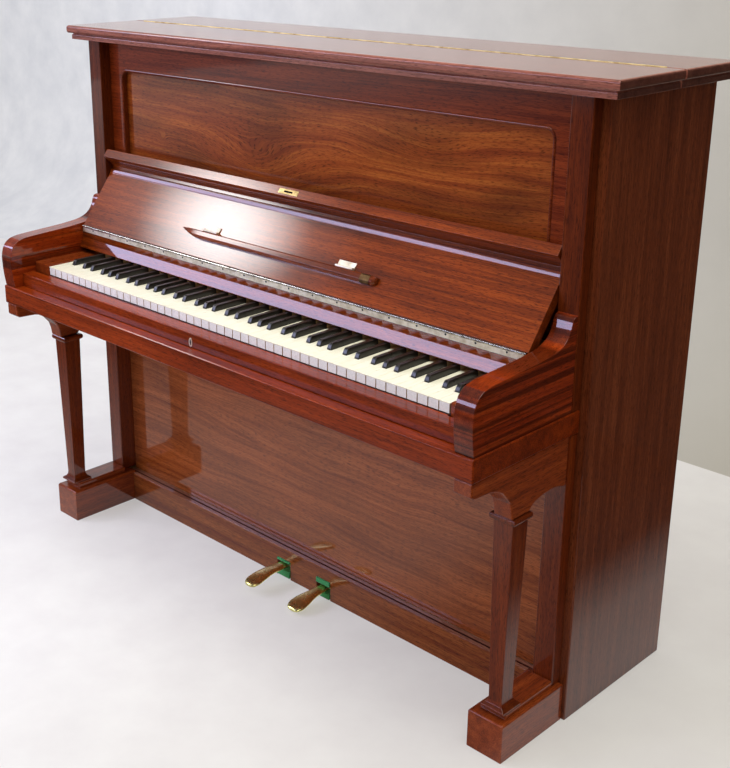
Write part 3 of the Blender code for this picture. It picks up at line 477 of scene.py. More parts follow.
MAHOGANY_ACROSS = PolishedWood(
    "french_polished_mahogany_level_grain", Axis.X, "5C2206", "7A3007", "92400F", Figure.CLOUDED, 0.24
)
MAHOGANY_BED = PolishedWood(
    "worn_mahogany_slip_and_bed", Axis.X, "662206", "842E08", "9A3C0E", Figure.CLOUDED, 0.24, polish=0.5
)
MAHOGANY_KICK = PolishedWood("scuffed_mahogany_kick_rail", Axis.X, "6A2A10", "804018", "945024", polish=0.6)
# The ledge over the kick rail is painted paler than the rail, as painted light against the keybed's shade, and the
# dark, unpolished strip on it is the painted shadow of the groove between the rail and the bottom door.
MAHOGANY_LEDGE = PolishedWood("worn_mahogany_ledge", Axis.X, "8E5A42", "9E684E", "AE765A")
GROOVE_SHADOW = PolishedWood("dull_dark_mahogany_line", Axis.X, "3C1409", "4C1C0E", "5A2413", polish=0.0)
MAHOGANY_LID = PolishedWood("sun_faded_mahogany_lid", Axis.X, "744034", "8A5042", "9C6050", ends=0.36)
MAHOGANY_SIDE = PolishedWood("french_polished_mahogany_side", Axis.Z, "562612", "662E16", "763A1E")
MAHOGANY_UPRIGHT = PolishedWood("french_polished_mahogany_upright_grain", Axis.Z, "581F06", "662506", "74300B")
MAHOGANY_PILASTER = PolishedWood("dark_mahogany_pilaster", Axis.Z, "441805", "541E06", "652809")
MAHOGANY_DEEP = PolishedWood(
    "french_polished_mahogany_front_to_back", Axis.Y, "6A2A10", "7E3412", "92421A", ends=1.0
)
MAHOGANY_ARM = PolishedWood("ribbon_mahogany_arm", Axis.Y, "702206", "842C08", "983A0D", Figure.RIBBON, 0.62)
MAHOGANY_DOOR = PolishedWood("french_polished_mahogany_door_frame", Axis.X, "541A06", "6A2609", "7E3312")
MAHOGANY_PANEL = FiguredWood(
    "crotch_mahogany_panel",
    Axis.X,
    "743010",
    "8C4216",
    "A2571F",
    Figure.CLOUDED,
    0.46,
    eyes=((-170, 945, 150, 60, 46), (-20, 900, 220, 70, 26), (330, 1020, 260, 60, 30), (-470, 962, 13, 8, 11)),
)
MAHOGANY_LOWER = FiguredWood(
    "plain_sawn_mahogany_door",
    Axis.X,
    "7A3612",
    "944A1E",
    "AA5C2C",
    Figure.CLOUDED,
    0.24,
    eyes=((-330, 430, 240, 60, 44), (60, 300, 300, 70, 30), (390, 480, 220, 60, 26)),
)
MAHOGANY_BEAD = PolishedWood("french_polished_mahogany_bead", Axis.X, "4A1707", "64240A", "7A3311")
SPRUCE = PlainWood("quarter_sawn_spruce", Axis.Z, "8A5F33", "C09458")
SPRUCE_LEVEL = PlainWood("spruce_rail_or_board", Axis.X, "8A5F33", "B88C52")
BEECH = PlainWood("oiled_beech", Axis.X, "7A5230", "A67848")
BEECH_UPRIGHT = PlainWood("beech_upright_grain", Axis.Z, "8A6440", "B88A5A")
LIME = PlainWood("lime_wood_key_lever", Axis.Y, "A98555", "CBA878")
IVORY = KeySkin("ivory_key_covering", "F4F0DC", "EDE8D0", 0.20)
# The key fronts are a separate strip of ivory; their cooler, whiter tone than the tops is a painted reflection of the
# window.
IVORY_FRONT = KeySkin("ivory_key_front", "F1F0EA", "E6E4DE", 0.25)
EBONY = KeySkin("ebony_sharp", "17120F", "0B0908", 0.30)
BRASS = Metal("polished_brass", "CDB27A", "957B48", 0.30)
PEDAL_BRASS = Metal("foot_worn_pedal_brass", "F0EAA0", "CDBD74", 0.24)
AGED_BRASS = Metal("aged_hinge_brass", "E4CE94", "A58A55", 0.35)
NICKEL = Metal("worn_nickel_plate", "FBF2DE", "D8CCB0", 0.52)
BRIGHT_NICKEL = Metal("bright_nickel_knuckle", "DAD6CC", "A39D90", 0.18)
DARK_BRONZE = Metal("tarnished_bronze_mount", "6E5434", "2C2014", 0.34)
STEEL = Metal("dark_steel_screw", "4A4642", "2A2725", 0.40)
MUSIC_WIRE = Metal("polished_music_wire", "B8B6B2", "8C8984", 0.25)
COPPER_WIRE = Metal("copper_wound_bass_string", "B26A44", "7E4328", 0.35)
BRONZED_IRON = Metal("bronzed_cast_iron", "9C7438", "5F431F", 0.42)
# Painted shade: a dark, dull surface that stands for the shade inside the keyhole and the strike plate's slot.
HOLE_SHADE = Metal("blackened_iron_slot", "1C1714", "100D0B", 0.6)
GREEN_FELT = Felt("green_baize_felt", "34A65A", "1F7A40")
RED_FELT = Felt("red_baize_felt", "6A1C18", "430F0E")
WHITE_FELT = Felt("white_hammer_felt", "E9E3D4", "CFC6B2")


class Shop:
    """Hands out each finish's material and makes it only once."""

    def __init__(self) -> None:
        """Start with no materials made."""
        self.made: dict[str, bpy.types.Material] = {}

    def get(self, finish: Finish) -> bpy.types.Material:
        """Return a finish's material.

        Args:
            finish: The finish.
        """
        if finish.name not in self.made:
            self.made[finish.name] = finish.make()
        return self.made[finish.name]


SHOP = Shop()


def dress(item: bpy.types.Object, finish: Finish) -> bpy.types.Object:
    """Give an object one finish in all its slots.

    Args:
        item: A mesh object.
        finish: The finish.

    Returns:
        The same object.
    """
    material = SHOP.get(finish)
    if not item.material_slots:
        item.data.materials.append(material)
    for slot in item.material_slots:
        slot.material = material
    return item


def soften(item: bpy.types.Object, width: float, segments: int = 3) -> bpy.types.Object:
    """Round an object's edges and shade it smooth.

    Args:
        item: The object.
        width: The rounding's width.
        segments: Steps round each edge.

    Returns:
        The same object.
    """
    bevel = item.modifiers.new("arris", "BEVEL")
    bevel.width = width
    bevel.segments = segments
    bevel.limit_method = "ANGLE"
    bevel.angle_limit = math.radians(15)
    for face in item.data.polygons:
        face.use_smooth = True
    # Flat faces keep their own normals, and only the rounded edges between them turn.
    item.modifiers.new("flat_faces", "WEIGHTED_NORMAL").weight = 100
    return item


def smooth(points: list[Point2], steps: int = 6) -> list[Point2]:
    """Draw an even curve through points, ends included (a Catmull-Rom spline).

    Args:
        points: The points.
        steps: Steps between each two.

    Returns:
        The points of the curve.
    """
    padded = [points[0], *points, points[-1]]
    line = []
    for four in zip(padded, padded[1:], padded[2:], padded[3:]):
        for step in range(steps):
            t = step / steps
            line.append(
                tuple(
                    0.5 * (2 * q + (r - p) * t + (2 * p - 5 * q + 4 * r - s) * t**2 + (3 * q - p - 3 * r + s) * t**3)
                    for p, q, r, s in zip(*four)
                )
            )
    line.append(points[-1])
    return line


class Shape:
    """A mesh in the making, put together from closed lofts."""

    def __init__(self) -> None:
        """Start with an empty mesh."""
        self.work = bmesh.new()

    def loft(self, rings: list[list[Point]]) -> "Shape":
        """Skin a row of rings that have as many points each, and close both ends.

        Args:
            rings: The rings, from one end to the other.

        Returns:
            The shape itself.
        """
        rows = [[self.work.verts.new(p) for p in ring] for ring in rings]
        for before, after in zip(rows, rows[1:]):
            for i, corner in enumerate(before):
                j = (i + 1) % len(before)
                self.work.faces.new((corner, before[j], after[j], after[i]))
        self.work.faces.new(rows[0])
        self.work.faces.new(rows[-1])
        return self

    def slab(self, profile: list[Point2], left: float, right: float) -> "Shape":
        """Push a side profile from one x to another.

        Args:
            profile: Depth and height of each corner.
            left: The first x.
            right: The second x.

        Returns:
            The shape itself.
        """
        return self.loft([[(x, y, z) for y, z in profile] for x in (left, right)])

    def block(self, low: Point, high: Point) -> "Shape":
        """Add a squared block between two opposite corners.

        Args:
            low: The lowest corner.
            high: The highest corner.

        Returns:
            The shape itself.
        """
        profile = [(low[1], low[2]), (high[1], low[2]), (high[1], high[2]), (low[1], high[2])]
        return self.slab(profile, low[0], high[0])

    def pin(self, start: Point, end: Point, radius: float, sides: int = 10, domed: bool = False) -> "Shape":
        """Turn a round pin.

        Args:
            start: The middle of one end.
            end: The middle of the other end.
            radius: The pin's radius.
            sides: Flats round it.
            domed: Whether its far end is rounded over.

        Returns:
            The shape itself.
        """
        axis = Vector(end) - Vector(start)
        across = axis.orthogonal().normalized()
        over = axis.cross(across).normalized()
        stations = [(0.0, 1.0), (0.6, 1.0), (0.9, 0.72), (1.0, 0.3)] if domed else [(0.0, 1.0), (1.0, 1.0)]
        rings = []
        for share, width in stations:
            ring = []
            for i in range(sides):
                turn = 2 * math.pi * i / sides
                away = math.cos(turn) * across + math.sin(turn) * over
                ring.append(tuple(Vector(start) + share * axis + radius * width * away))
            rings.append(ring)
        return self.loft(rings)

    def part(self, depth: float) -> "Shape":
        """Divide the faces at one depth, where a covering is to end.

        Args:
            depth: The place of the dividing line.

        Returns:
            The shape itself.
        """
        geometry = [*self.work.verts, *self.work.edges, *self.work.faces]
        bmesh.ops.bisect_plane(self.work, geom=geometry, plane_co=(0.0, depth, 0.0), plane_no=(0.0, 1.0, 0.0))
        return self

    def lay(
        self,
        name: str,
        finish: Finish,
        body: str,
        slot: str,
        hides: tuple[str, ...] = (),
        arris: float = 0.0,
    ) -> bpy.types.Object:
        """Turn the shape into a dressed piece of the piano.

        Args:
            name: The piece's name.
            finish: Its finish.
            body: The body it moves with.
            slot: The record's material slot; not used.
            hides: The nodes that it stands for.
            arris: The width of its rounded edges.

        Returns:
            The piece.
        """
        bmesh.ops.recalc_face_normals(self.work, faces=self.work.faces)
        mesh = bpy.data.meshes.new(name)
        self.work.to_mesh(mesh)
        self.work.free()
        item = bpy.data.objects.new(name, mesh)
        bpy.context.scene.collection.objects.link(item)
        dress(item, finish)
        if arris:
            soften(item, arris)
        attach(item, body)
        if hides:
            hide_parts(*hides)
        return item


def centred(count: int, step: float) -> list[float]:
    """Return evenly spaced places about zero.

    Args:
        count: How many.
        step: The distance between neighbours.
    """
    return [(i - (count - 1) / 2) * step for i in range(count)]


@dataclass
class Cabinet:
    """The cabinet work: boards with eased arrises, and the carried-over nodes in their real finishes."""

    eased: dict[str, tuple[Finish, float]] = field(
        default_factory=lambda: {
            "left_side": (MAHOGANY_SIDE, 1.2 * MM),
            "right_side": (MAHOGANY_SIDE, 1.2 * MM),
            "left_upper_pilaster": (MAHOGANY_PILASTER, 1.0 * MM),
            "right_upper_pilaster": (MAHOGANY_PILASTER, 1.0 * MM),
            "left_lower_pilaster": (MAHOGANY_UPRIGHT, 1.0 * MM),
            "right_lower_pilaster": (MAHOGANY_UPRIGHT, 1.0 * MM),
            "left_leg_column": (MAHOGANY_UPRIGHT, 0.7 * MM),
            "right_leg_column": (MAHOGANY_UPRIGHT, 0.7 * MM),
            "left_leg_bracket": (MAHOGANY_DEEP, 0.7 * MM),
            "right_leg_bracket": (MAHOGANY_DEEP, 0.7 * MM),
            "left_toe_block": (MAHOGANY_DEEP, 1.5 * MM),
            "right_toe_block": (MAHOGANY_DEEP, 1.5 * MM),
            "left_key_block": (MAHOGANY_DEEP, 1.2 * MM),
            "right_key_block": (MAHOGANY_DEEP, 1.2 * MM),
            "top_door_frame": (MAHOGANY_DOOR, 0.8 * MM),
            "bottom_door": (MAHOGANY_LOWER, 0.8 * MM),
            "kick_rail": (MAHOGANY_KICK, 1.0 * MM),
            "lid_back": (MAHOGANY_LID, 1.0 * MM),
            "lid_flap": (MAHOGANY_LID, 1.0 * MM),
            "keybed": (MAHOGANY_BED, 0.6 * MM),
            "key_slip": (MAHOGANY_BED, 0.9 * MM),
            "name_strip": (MAHOGANY_ACROSS, 0.5 * MM),
        }
    )
    carried: dict[str, Finish] = field(
        default_factory=lambda: {
            "top_door_panel": MAHOGANY_PANEL,
            "top_door_sill": BEECH,
            "bottom_board": SPRUCE_LEVEL,
            "ledge_hinge_left": NICKEL,
            "ledge_hinge_right": NICKEL,
            "left_pedal_bracket": BRONZED_IRON,
            "right_pedal_bracket": BRONZED_IRON,
            "left_trap_lever": BEECH,
            "right_trap_lever": BEECH,
            "left_lift_rod": BEECH_UPRIGHT,
            "right_lift_rod": BEECH_UPRIGHT,
            "hammer_rail": BEECH_UPRIGHT,
            "damper_rail": BEECH_UPRIGHT,
            "back_frame": SPRUCE,
            "soundboard": SPRUCE,
            "wrest_plank": BEECH,
            "iron_frame": BRONZED_IRON,
        }
    )
    opening: tuple[float, float, float] = (596.05 * MM, 815 * MM, 1101 * MM)
    hinge: tuple[float, float, float] = (706.5 * MM, 136.4 * MM, 1200.2 * MM)

    def ease(self, node: bpy.types.Object, finish: Finish, arris: float) -> None:
        """Replace a node by the same board with its sharp edges taken off.

        Args:
            node: The node.
            finish: The board's finish.
            arris: The width of its rounded edges.
        """
        shape = Shape()
        shape.work.from_mesh(node.data)
        bmesh.ops.remove_doubles(shape.work, verts=shape.work.verts, dist=0.001 * MM)
        flat = math.radians(0.5)
        bmesh.ops.dissolve_limit(
            shape.work, angle_limit=flat, verts=shape.work.verts, edges=shape.work.edges
        )
        body = body_of(node)[0]
        shape.lay(node.name + "_eased", finish, body, "mahogany", (node.name,), arris)

    def bead(self) -> None:
        """Run the half-round bead round the opening of the top door."""
        half, low, high = self.opening
        radius = 3.6 * MM
        corner = 16 * MM
        curve = bpy.data.curves.new("top_door_bead", "CURVE")
        curve.dimensions = "3D"
        curve.bevel_depth = radius
        curve.bevel_resolution = 3
        line = curve.splines.new("POLY")
        points = []
        for middle_x, middle_z, start in (
            (half - corner, high - corner, 0),
            (corner - half, high - corner, 90),
            (corner - half, low + corner, 180),
            (half - corner, low + corner, 270),
        ):
            for step in range(7):
                turn = math.radians(start + 15 * step)
                reach = corner + radius
                points.append((middle_x + reach * math.cos(turn), middle_z + reach * math.sin(turn)))
        line.points.add(len(points) - 1)
        for place, (x, z) in zip(line.points, points):
            place.co = (x, -14.2 * MM, z, 1.0)
        line.use_cyclic_u = True
        item = bpy.data.objects.new("top_door_bead", curve)
        bpy.context.scene.collection.objects.link(item)
        dress(item, MAHOGANY_BEAD)
        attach(item, "case")

    def lid_hinge(self) -> None:
        """Turn the piano hinge of the lid, its knuckles by turns on the lid's back and on its flap."""
        half, y, z = self.hinge
        count, gap, radius = 49, 0.4 * MM, 1.3 * MM
        step = 2 * half / count
        for first, body, hides in ((0, "case", ("lid_hinge",)), (1, "lid_flap", ())):
            shape = Shape()
            for x in centred(count, step)[first::2]:
                reach = (step - gap) / 2
                shape.pin((x - reach, y, z), (x + reach, y, z), radius)
            item = shape.lay("lid_hinge_knuckles_" + body, AGED_BRASS, body, "brass", hides)
            soften(item, 0.2 * MM, 1)

    def escutcheon(self) -> None:
        """Set the nickel keyhole plate into the key slip, with a dark oval on it as the painted shade of the keyhole.
        """
        x, y, z = -38 * MM, -290 * MM, 640.5 * MM
        for name, finish, wide, high, proud in (
            ("lock_escutcheon", NICKEL, 5.2 * MM, 9.4 * MM, 0.9 * MM),
            ("lock_keyhole", HOLE_SHADE, 2.0 * MM, 6.0 * MM, 1.0 * MM),
        ):
            ring = []
            for i in range(20):
                turn = 2 * math.pi * i / 20
                ring.append((x + wide * math.cos(turn), z + high * math.sin(turn)))
            rings = [[(a, y + depth, b) for a, b in ring] for depth in (0.6 * MM, -proud)]
            Shape().loft(rings).lay(name, finish, "case", "nickel", (), 0.2 * MM)

    def groove(self) -> None:
        """Face the ledge on the kick rail, in front of the bottom door, and lay on it a dark strip as the painted
        shadow of the groove.
        """
        # Painted light: the ledge is drawn paler than the rail, to lift the shade that the keybed casts on it.
        ledge = Shape().block((-643 * MM, -26.0 * MM, 73.2 * MM), (643 * MM, -2.4 * MM, 73.9 * MM))
        ledge.lay("kick_rail_ledge", MAHOGANY_LEDGE, "case", "mahogany", (), 0.2 * MM)
        # Painted shadow: a dark strip without polish stands for the shade in the groove between the rail and the
        # bottom door.
        line = Shape().block((-643 * MM, -17 * MM, 73.3 * MM), (643 * MM, -12.5 * MM, 74.2 * MM))
        line.lay("kick_rail_groove", GROOVE_SHADOW, "case", "mahogany", (), 0.2 * MM)

    def build(self, nodes: dict[str, bpy.types.Object]) -> None:
        """Dress the nodes and add the mouldings and fittings.

        Args:
            nodes: The CAD nodes by name.
        """
        for name, (finish, arris) in self.eased.items():
            self.ease(nodes[name], finish, arris)
        for name, finish in self.carried.items():
            dress(nodes[name], finish)
        self.bead()
        self.lid_hinge()
        self.escutcheon()
        self.groove()
        # A strip behind the slip closes most of the gap in front of the keys.
        liner = Shape().block((-589 * MM, -259.2 * MM, 640 * MM), (589 * MM, -255.2 * MM, 659.8 * MM))
        liner.lay("key_slip_liner", MAHOGANY_BED, "case", "mahogany", (), 0.5 * MM)
        LOG.info("cabinet ready")


@dataclass
class Arms:
    """The two arms: a bulbous nose in front, a long level top and a sweep that ends in a roll."""

    inner: float = 648.05 * MM
    outer: float = 687.05 * MM
    base: float = 629.3 * MM
    nose: float = -317.8 * MM
    case: float = -18 * MM
    front: tuple[Point2, ...] = (
        (6, 0),
        (2, 26),
        (0, 55),
        (1, 76),
        (8, 95),
        (21, 106.5),
        (36, 111),
        (60, 113.5),
    )
    sweep: tuple[Point2, ...] = (
        (-150, 117.5),
        (-112, 120.2),
        (-88, 123),
        (-73, 127),
        (-61, 132.5),
        (-52.5, 139.5),
        (-46.5, 147.5),
        (-42.2, 157),
        (-38.8, 167),
        (-34.5, 173.6),
        (-25.3, 176),
    )

    def build(self) -> None:
        """Shape both arms."""
        line = [(self.nose + y * MM, self.base + z * MM) for y, z in self.front]
        line += [(self.case + y * MM, self.base + z * MM) for y, z in self.sweep]
        profile = [*smooth(line), (line[-1][0], self.base)]
        for side, sign in (("left", -1), ("right", 1)):
            shape = Shape().slab(profile, sign * self.inner, sign * self.outer)
            name = side + "_arm"
            shape.lay(name + "_shaped", MAHOGANY_ARM, "case", "mahogany", (name,), 3.5 * MM)
        LOG.info("arms shaped")


@dataclass
class Fall:
    """The fittings of the fall: its hinge, the strike plate on its lip and the music ledge."""

    axis: Point2 = (-119.027 * MM, 744 * MM)
    lean: float = math.radians(36.5)
    length: float = 188 * MM
    half: float = 642.55 * MM
    # Along the fall from its far edge, and out from its inner face, in millimetres.
    lip: tuple[Point2, ...] = (
        (-44, 0),
        (-42.3, 0.75),
        (-37, 2.4),
        (-34.6, 2.65),
        (-33, 1.9),
        (-32, 0),
        (-25, 0.5),
        (-23.5, 6),
        (-20, 38),
        (0, 38),
        (2, 30),
        (1, 22),
        (-2, 15),
        (-9, 7),
        (-18, -2),
        (-28, -9),
        (-38, -15),
        (-48, -18.5),
        (-58, -20),
    )

    def at(self, x: float, along: float, out: float) -> Point:
        """Return a place on the open fall.

        Args:
            x: Its place in the width.
            along: The distance from the hinge, up the fall.
            out: The distance out from the fall's face.
        """
        y, z = self.axis
        return (
            x,
            y + along * math.sin(self.lean) - out * math.cos(self.lean),
            z + along * math.cos(self.lean) + out * math.sin(self.lean),
        )

    def plate(self, shape: Shape, across: Point2, along: Point2, out: Point2) -> None:
        """Add a flat plate that lies on the fall.

        Args:
            shape: The shape that it joins.
            across: Its two ends in the width.
            along: Its near and far edge.
            out: Its underside and its face.
        """
        (a, b), (c, d) = along, out
        section = ((a, c), (b, c), (b, d), (a, d))
        shape.loft([[self.at(x, u, v) for u, v in section] for x in across])

    def hinge(self) -> None:
        """Lay the nickel piano hinge of the fall, with its leaf, knuckles and screws."""
        y, z = self.axis
        left, right = -self.half, self.half - 3 * MM
        leaf = Shape().block((left, y - 1.2 * MM, z - 13 * MM), (right, y - 0.2 * MM, z - 2 * MM))
        leaf.lay("fall_hinge_leaf", NICKEL, "case", "nickel", ("fall_hinge",), 0.2 * MM)
        count = 41
        step = (right - left) / count
        knuckles = Shape()
        for x in centred(count, step):
            middle = x + (left + right) / 2
            reach = step / 2 - 0.25 * MM
            knuckles.pin((middle - reach, y - 0.6 * MM, z), (middle + reach, y - 0.6 * MM, z), 2.8 * MM)
        soften(knuckles.lay("fall_hinge_knuckles", BRIGHT_NICKEL, "case", "nickel"), 0.2 * MM, 1)
        screws = Shape()
        for x in centred(19, 66.8 * MM):
            screws.pin((x, y - 1.0 * MM, z - 5.6 * MM), (x, y - 1.7 * MM, z - 5.6 * MM), 2.1 * MM, 10, True)
        screws.lay("fall_hinge_screws", STEEL, "case", "nickel")

    def board(self) -> None:
        """Shape the board itself, with the lip, the sloped bead under it and the hollow back."""
        profile = [(3.5, 0.0)]
        profile += [(self.length / MM + along, out) for along, out in self.lip]
        profile.append((3.5, self.lip[-1][1]))
        rings = [[self.at(x, a * MM, o * MM) for a, o in profile] for x in (-self.half, self.half)]
        Shape().loft(rings).lay("fallboard_shaped", MAHOGANY_ACROSS, "fall", "mahogany", ("fallboard",), 0.7 * MM)

    def strike(self) -> None:
        """Screw the brass strike plate of the lock to the lip of the fall, with a dark strip on it as the painted
        shade of its slot.
        """
        near = self.length
        plate, slot, screws = Shape(), Shape(), Shape()
        self.plate(plate, (-40 * MM, 16 * MM), (near - 16 * MM, near - 5 * MM), (37.6 * MM, 38.7 * MM))
        self.plate(slot, (-24 * MM, 0), (near - 12.5 * MM, near - 8.5 * MM), (38.0 * MM, 38.9 * MM))
        # The dark strip in the plate is the painted shade of the slot.
        for x in (-34 * MM, 10 * MM):
            foot = self.at(x, near - 10.5 * MM, 38.4 * MM)
            screws.pin(foot, self.at(x, near - 10.5 * MM, 39.1 * MM), 2.0 * MM, 10, True)
        plate.lay("strike_plate", BRASS, "fall", "brass", (), 0.2 * MM)
        slot.lay("strike_plate_slot", HOLE_SHADE, "fall", "brass")
        screws.lay("strike_plate_screws", AGED_BRASS, "fall", "brass")

    def ledge(self) -> None:
        """Shape the music ledge, drawn out to a point on the left and rounded on the right."""
        section = (
            (43.0, 0.4),
            (43.0, 6.5),
            (45.0, 10.0),
            (48.5, 11.8),
            (58.0, 12.0),
            (60.3, 10.0),
            (60.3, 0.4),
        )
        stations = (
            (-303, 0.12, 0.30),
            (-294, 0.30, 0.55),
            (-278, 0.60, 0.85),
            (-258, 0.88, 1.0),
            (-235, 1.0, 1.0),
            (258, 1.0, 1.0),
            (268, 0.92, 0.96),
            (274, 0.74, 0.80),
            (277, 0.45, 0.50),
        )
        far, seat = section[-1]
        rings = []
        for x, wide, high in stations:
            ring = [(far + (a - far) * wide, seat + (o - seat) * high) for a, o in section]
            rings.append([self.at(x * MM, a * MM, o * MM) for a, o in ring])
        piece = Shape().loft(rings)
        piece.lay("music_ledge_shaped", MAHOGANY_ACROSS, "music_ledge", "mahogany", ("music_ledge",), 0.8 * MM)
        # A tarnished end mount clasps the ledge's right end.
        grown = [(a + 0.5 * (a > 52) - 0.5 * (a < 50), o + 0.5) for a, o in section]
        rings = [[self.at(x * MM, a * MM, o * MM) for a, o in grown] for x in (238, 246, 254, 262)]
        Shape().loft(rings).lay("ledge_end_mount", DARK_BRONZE, "music_ledge", "brass", (), 0.7 * MM)
        screws = Shape()
        for centre in (-212 * MM, 186 * MM):
            for x in (centre - 15 * MM, centre + 15 * MM):
                screws.pin(self.at(x, 72 * MM, 0.6 * MM), self.at(x, 72 * MM, 1.6 * MM), 1.8 * MM, 10, True)
        screws.lay("ledge_hinge_screws", AGED_BRASS, "fall", "brass")

    def build(self) -> None:
        """Fit everything to the fall."""
        self.hinge()
        self.board()
        self.strike()
        self.ledge()
        LOG.info("fall fitted")


@dataclass
class Keyboard:
    """The 85 keys, A0 to A7: ivory-faced heads with tails between ebony sharps, on their key frame."""

    pitch: float = 23.57 * MM
    whites: int = 50
    gap: float = 0.5 * MM
    front_gap: float = 1.9 * MM
    ivory: float = 1.9 * MM
    sharp_width: float = 11.0 * MM
    sharp_front: float = 48 * MM
    covered: float = -120 * MM
    playable: range = range(23, 30)
    letters: str = "ABCDEFG"
    offsets: dict[str, float] = field(
        default_factory=lambda: {"C": -0.14, "D": 0.14, "F": -0.17, "G": 0.0, "A": 0.17}
    )

    def letter(self, index: int) -> str:
        """Return a white key's letter.

        Args:
            index: The key.
        """
        return self.letters[index % len(self.letters)]

    def left(self, index: int) -> float:
        """Return the left edge of a white key's pitch.

        Args:
            index: The key.
        """
        return (index - self.whites / 2) * self.pitch

    def sharp_centre(self, index: int) -> float | None:
        """Return the middle of the sharp above a white key, or None.

        Args:
            index: The white key to the sharp's left.
        """
        offset = self.offsets.get(self.letter(index))
        if offset is None or not 0 <= index < self.whites - 1:
            return None
        return self.left(index + 1) + offset * self.pitch

    def head_and_tail(self, index: int, front: float, back: float, gap: float, inset: float) -> list[Point2]:
        """Outline one white key from above.

        Args:
            index: The key.
            front: The key's front.
            back: The end of its tail.
            gap: The gap to its neighbours.
            inset: How far its head stands back from the front.

        Returns:
            The outline, left front corner first.
        """
        left = self.left(index) + gap / 2
        right = self.left(index + 1) - gap / 2
        reach = self.sharp_width / 2 + 1.0 * MM
        before = self.sharp_centre(index - 1)
        after = self.sharp_centre(index)
        tail_left = left if before is None else max(left, before + reach)
        tail_right = right if after is None else min(right, after - reach)
        step = front + self.sharp_front - 1.8 * MM
        points = [(left, front + inset), (right, front + inset)]
        if tail_right < right:
            points += [(right, step), (tail_right, step)]
        points += [(tail_right, back), (tail_left, back)]
        if tail_left > left:
            points += [(tail_left, step), (left, step)]
        return points

    def white(self, index: int, front: float, back: float, low: float, high: float) -> Shape:
        """Model one white key.

        Args:
            index: The key.
            front: Its front.
            back: Its far end.
            low: Its underside.
            high: Its playing face.

        Returns:
            Its shape.
        """
        # The ivory is a little wider than the key under it, so the fronts stand further apart.
        rings = []
        for z, gap, inset in (
            (low, self.front_gap, 0.4 * MM),
            (high - self.ivory, self.front_gap, 0.4 * MM),
            (high - self.ivory, self.gap, 0.0),
            (high, self.gap, 0.0),
        ):
            outline = self.head_and_tail(index, front, back, gap, inset)
            rings.append([(x, y, z) for x, y in outline])
        return Shape().loft(rings)

    def sharp(self, index: int, front: float, back: float, low: float, top: float) -> Shape:
        """Model one sharp: a block with a raked front and a narrowed, rounded top.

        Args:
            index: The white key to its left.
            front: The foot of its front.
            back: Its far end.
            low: Its underside.
            top: Its playing face.

        Returns:
            Its shape.
        """
        centre = self.sharp_centre(index)
        half = self.sharp_width / 2
        rings = []
        for wide, start, z in (
            (half, front, low),
            (half, front, top - 10 * MM),
            (half - 0.6 * MM, front + 3.2 * MM, top - 3.0 * MM),
            (half - 1.0 * MM, front + 6.0 * MM, top),
        ):
            corners = ((-wide, start), (wide, start), (wide, back), (-wide, back))
            rings.append([(centre + x, y, z) for x, y in corners])
        return Shape().loft(rings)

    def key_frame(self, high: Vector) -> None:
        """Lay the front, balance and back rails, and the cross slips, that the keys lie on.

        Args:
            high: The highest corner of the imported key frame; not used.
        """
        front, base = -254 * MM, 629.3 * MM
        half = self.whites * self.pitch / 2 - 1.0 * MM
        wood, felt = Shape(), Shape()
        for near, far, top in ((12, 52, 647.0), (193, 217, 660.0), (342, 381, 655.6)):
            wood.block((-half, front + near * MM, base), (half, front + far * MM, top * MM))
        for x in (-half, -200 * MM, 170 * MM, half - 30 * MM):
            wood.block((x, front + 40 * MM, base), (x + 30 * MM, front + 362 * MM, 643 * MM))
        for near, far, low, top in ((18, 34, 646.9, 649.4), (348, 376, 655.5, 657.6)):
            felt.block((-half + MM, front + near * MM, low * MM), (half - MM, front + far * MM, top * MM))
        wood.lay("key_frame_rails", BEECH, "case", "beech", ("key_frame",), 0.8 * MM)
        felt.lay("key_frame_felts", RED_FELT, "case", "beech", (), 0.8 * MM)

    def build(self) -> None:
        """Build every key and put it on its body."""
        low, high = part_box("white_key_C")
        black_low, black_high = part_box("black_key_C")
        self.key_frame(high)
        # Behind the name strip the coverings end, and the keys go on as bare levers.
        face, lime = SHOP.get(IVORY_FRONT), SHOP.get(LIME)
        for index in range(self.whites):
            playable = index in self.playable
            letter = self.letter(index)
            node = "white_key_" + letter
            body, hides = (node, (node,)) if playable else ("case", ())
            shape = self.white(index, low.y, high.y, low.z, high.z).part(self.covered)
            key = shape.lay("ivory_key_%02d" % index, IVORY, body, "ivory_key", hides, 0.35 * MM)
            key.data.materials.append(face)
            key.data.materials.append(lime)
            # The front faces take the ivory with the window's painted reflection in its tone.
            for polygon in key.data.polygons:
                front = polygon.normal.y < -0.5 and polygon.center.y < low.y + MM
                top = polygon.center.z > high.z - self.ivory + 0.1 * MM and polygon.center.y < self.covered
                polygon.material_index = 0 if top else 1 if front else 2
            if self.sharp_centre(index) is None:
                continue
            node = "black_key_" + letter
            body, hides = (node, (node,)) if playable else ("case", ())
            shape = self.sharp(index, black_low.y, black_high.y, black_low.z, black_high.z).part(self.covered)
            key = shape.lay("ebony_key_%02d" % index, EBONY, body, "ebony_key", hides, 1.1 * MM)
            key.data.materials.append(lime)
            for polygon in key.data.polygons:
                polygon.material_index = int(polygon.center.y > self.covered)
        LOG.info("85 keys")


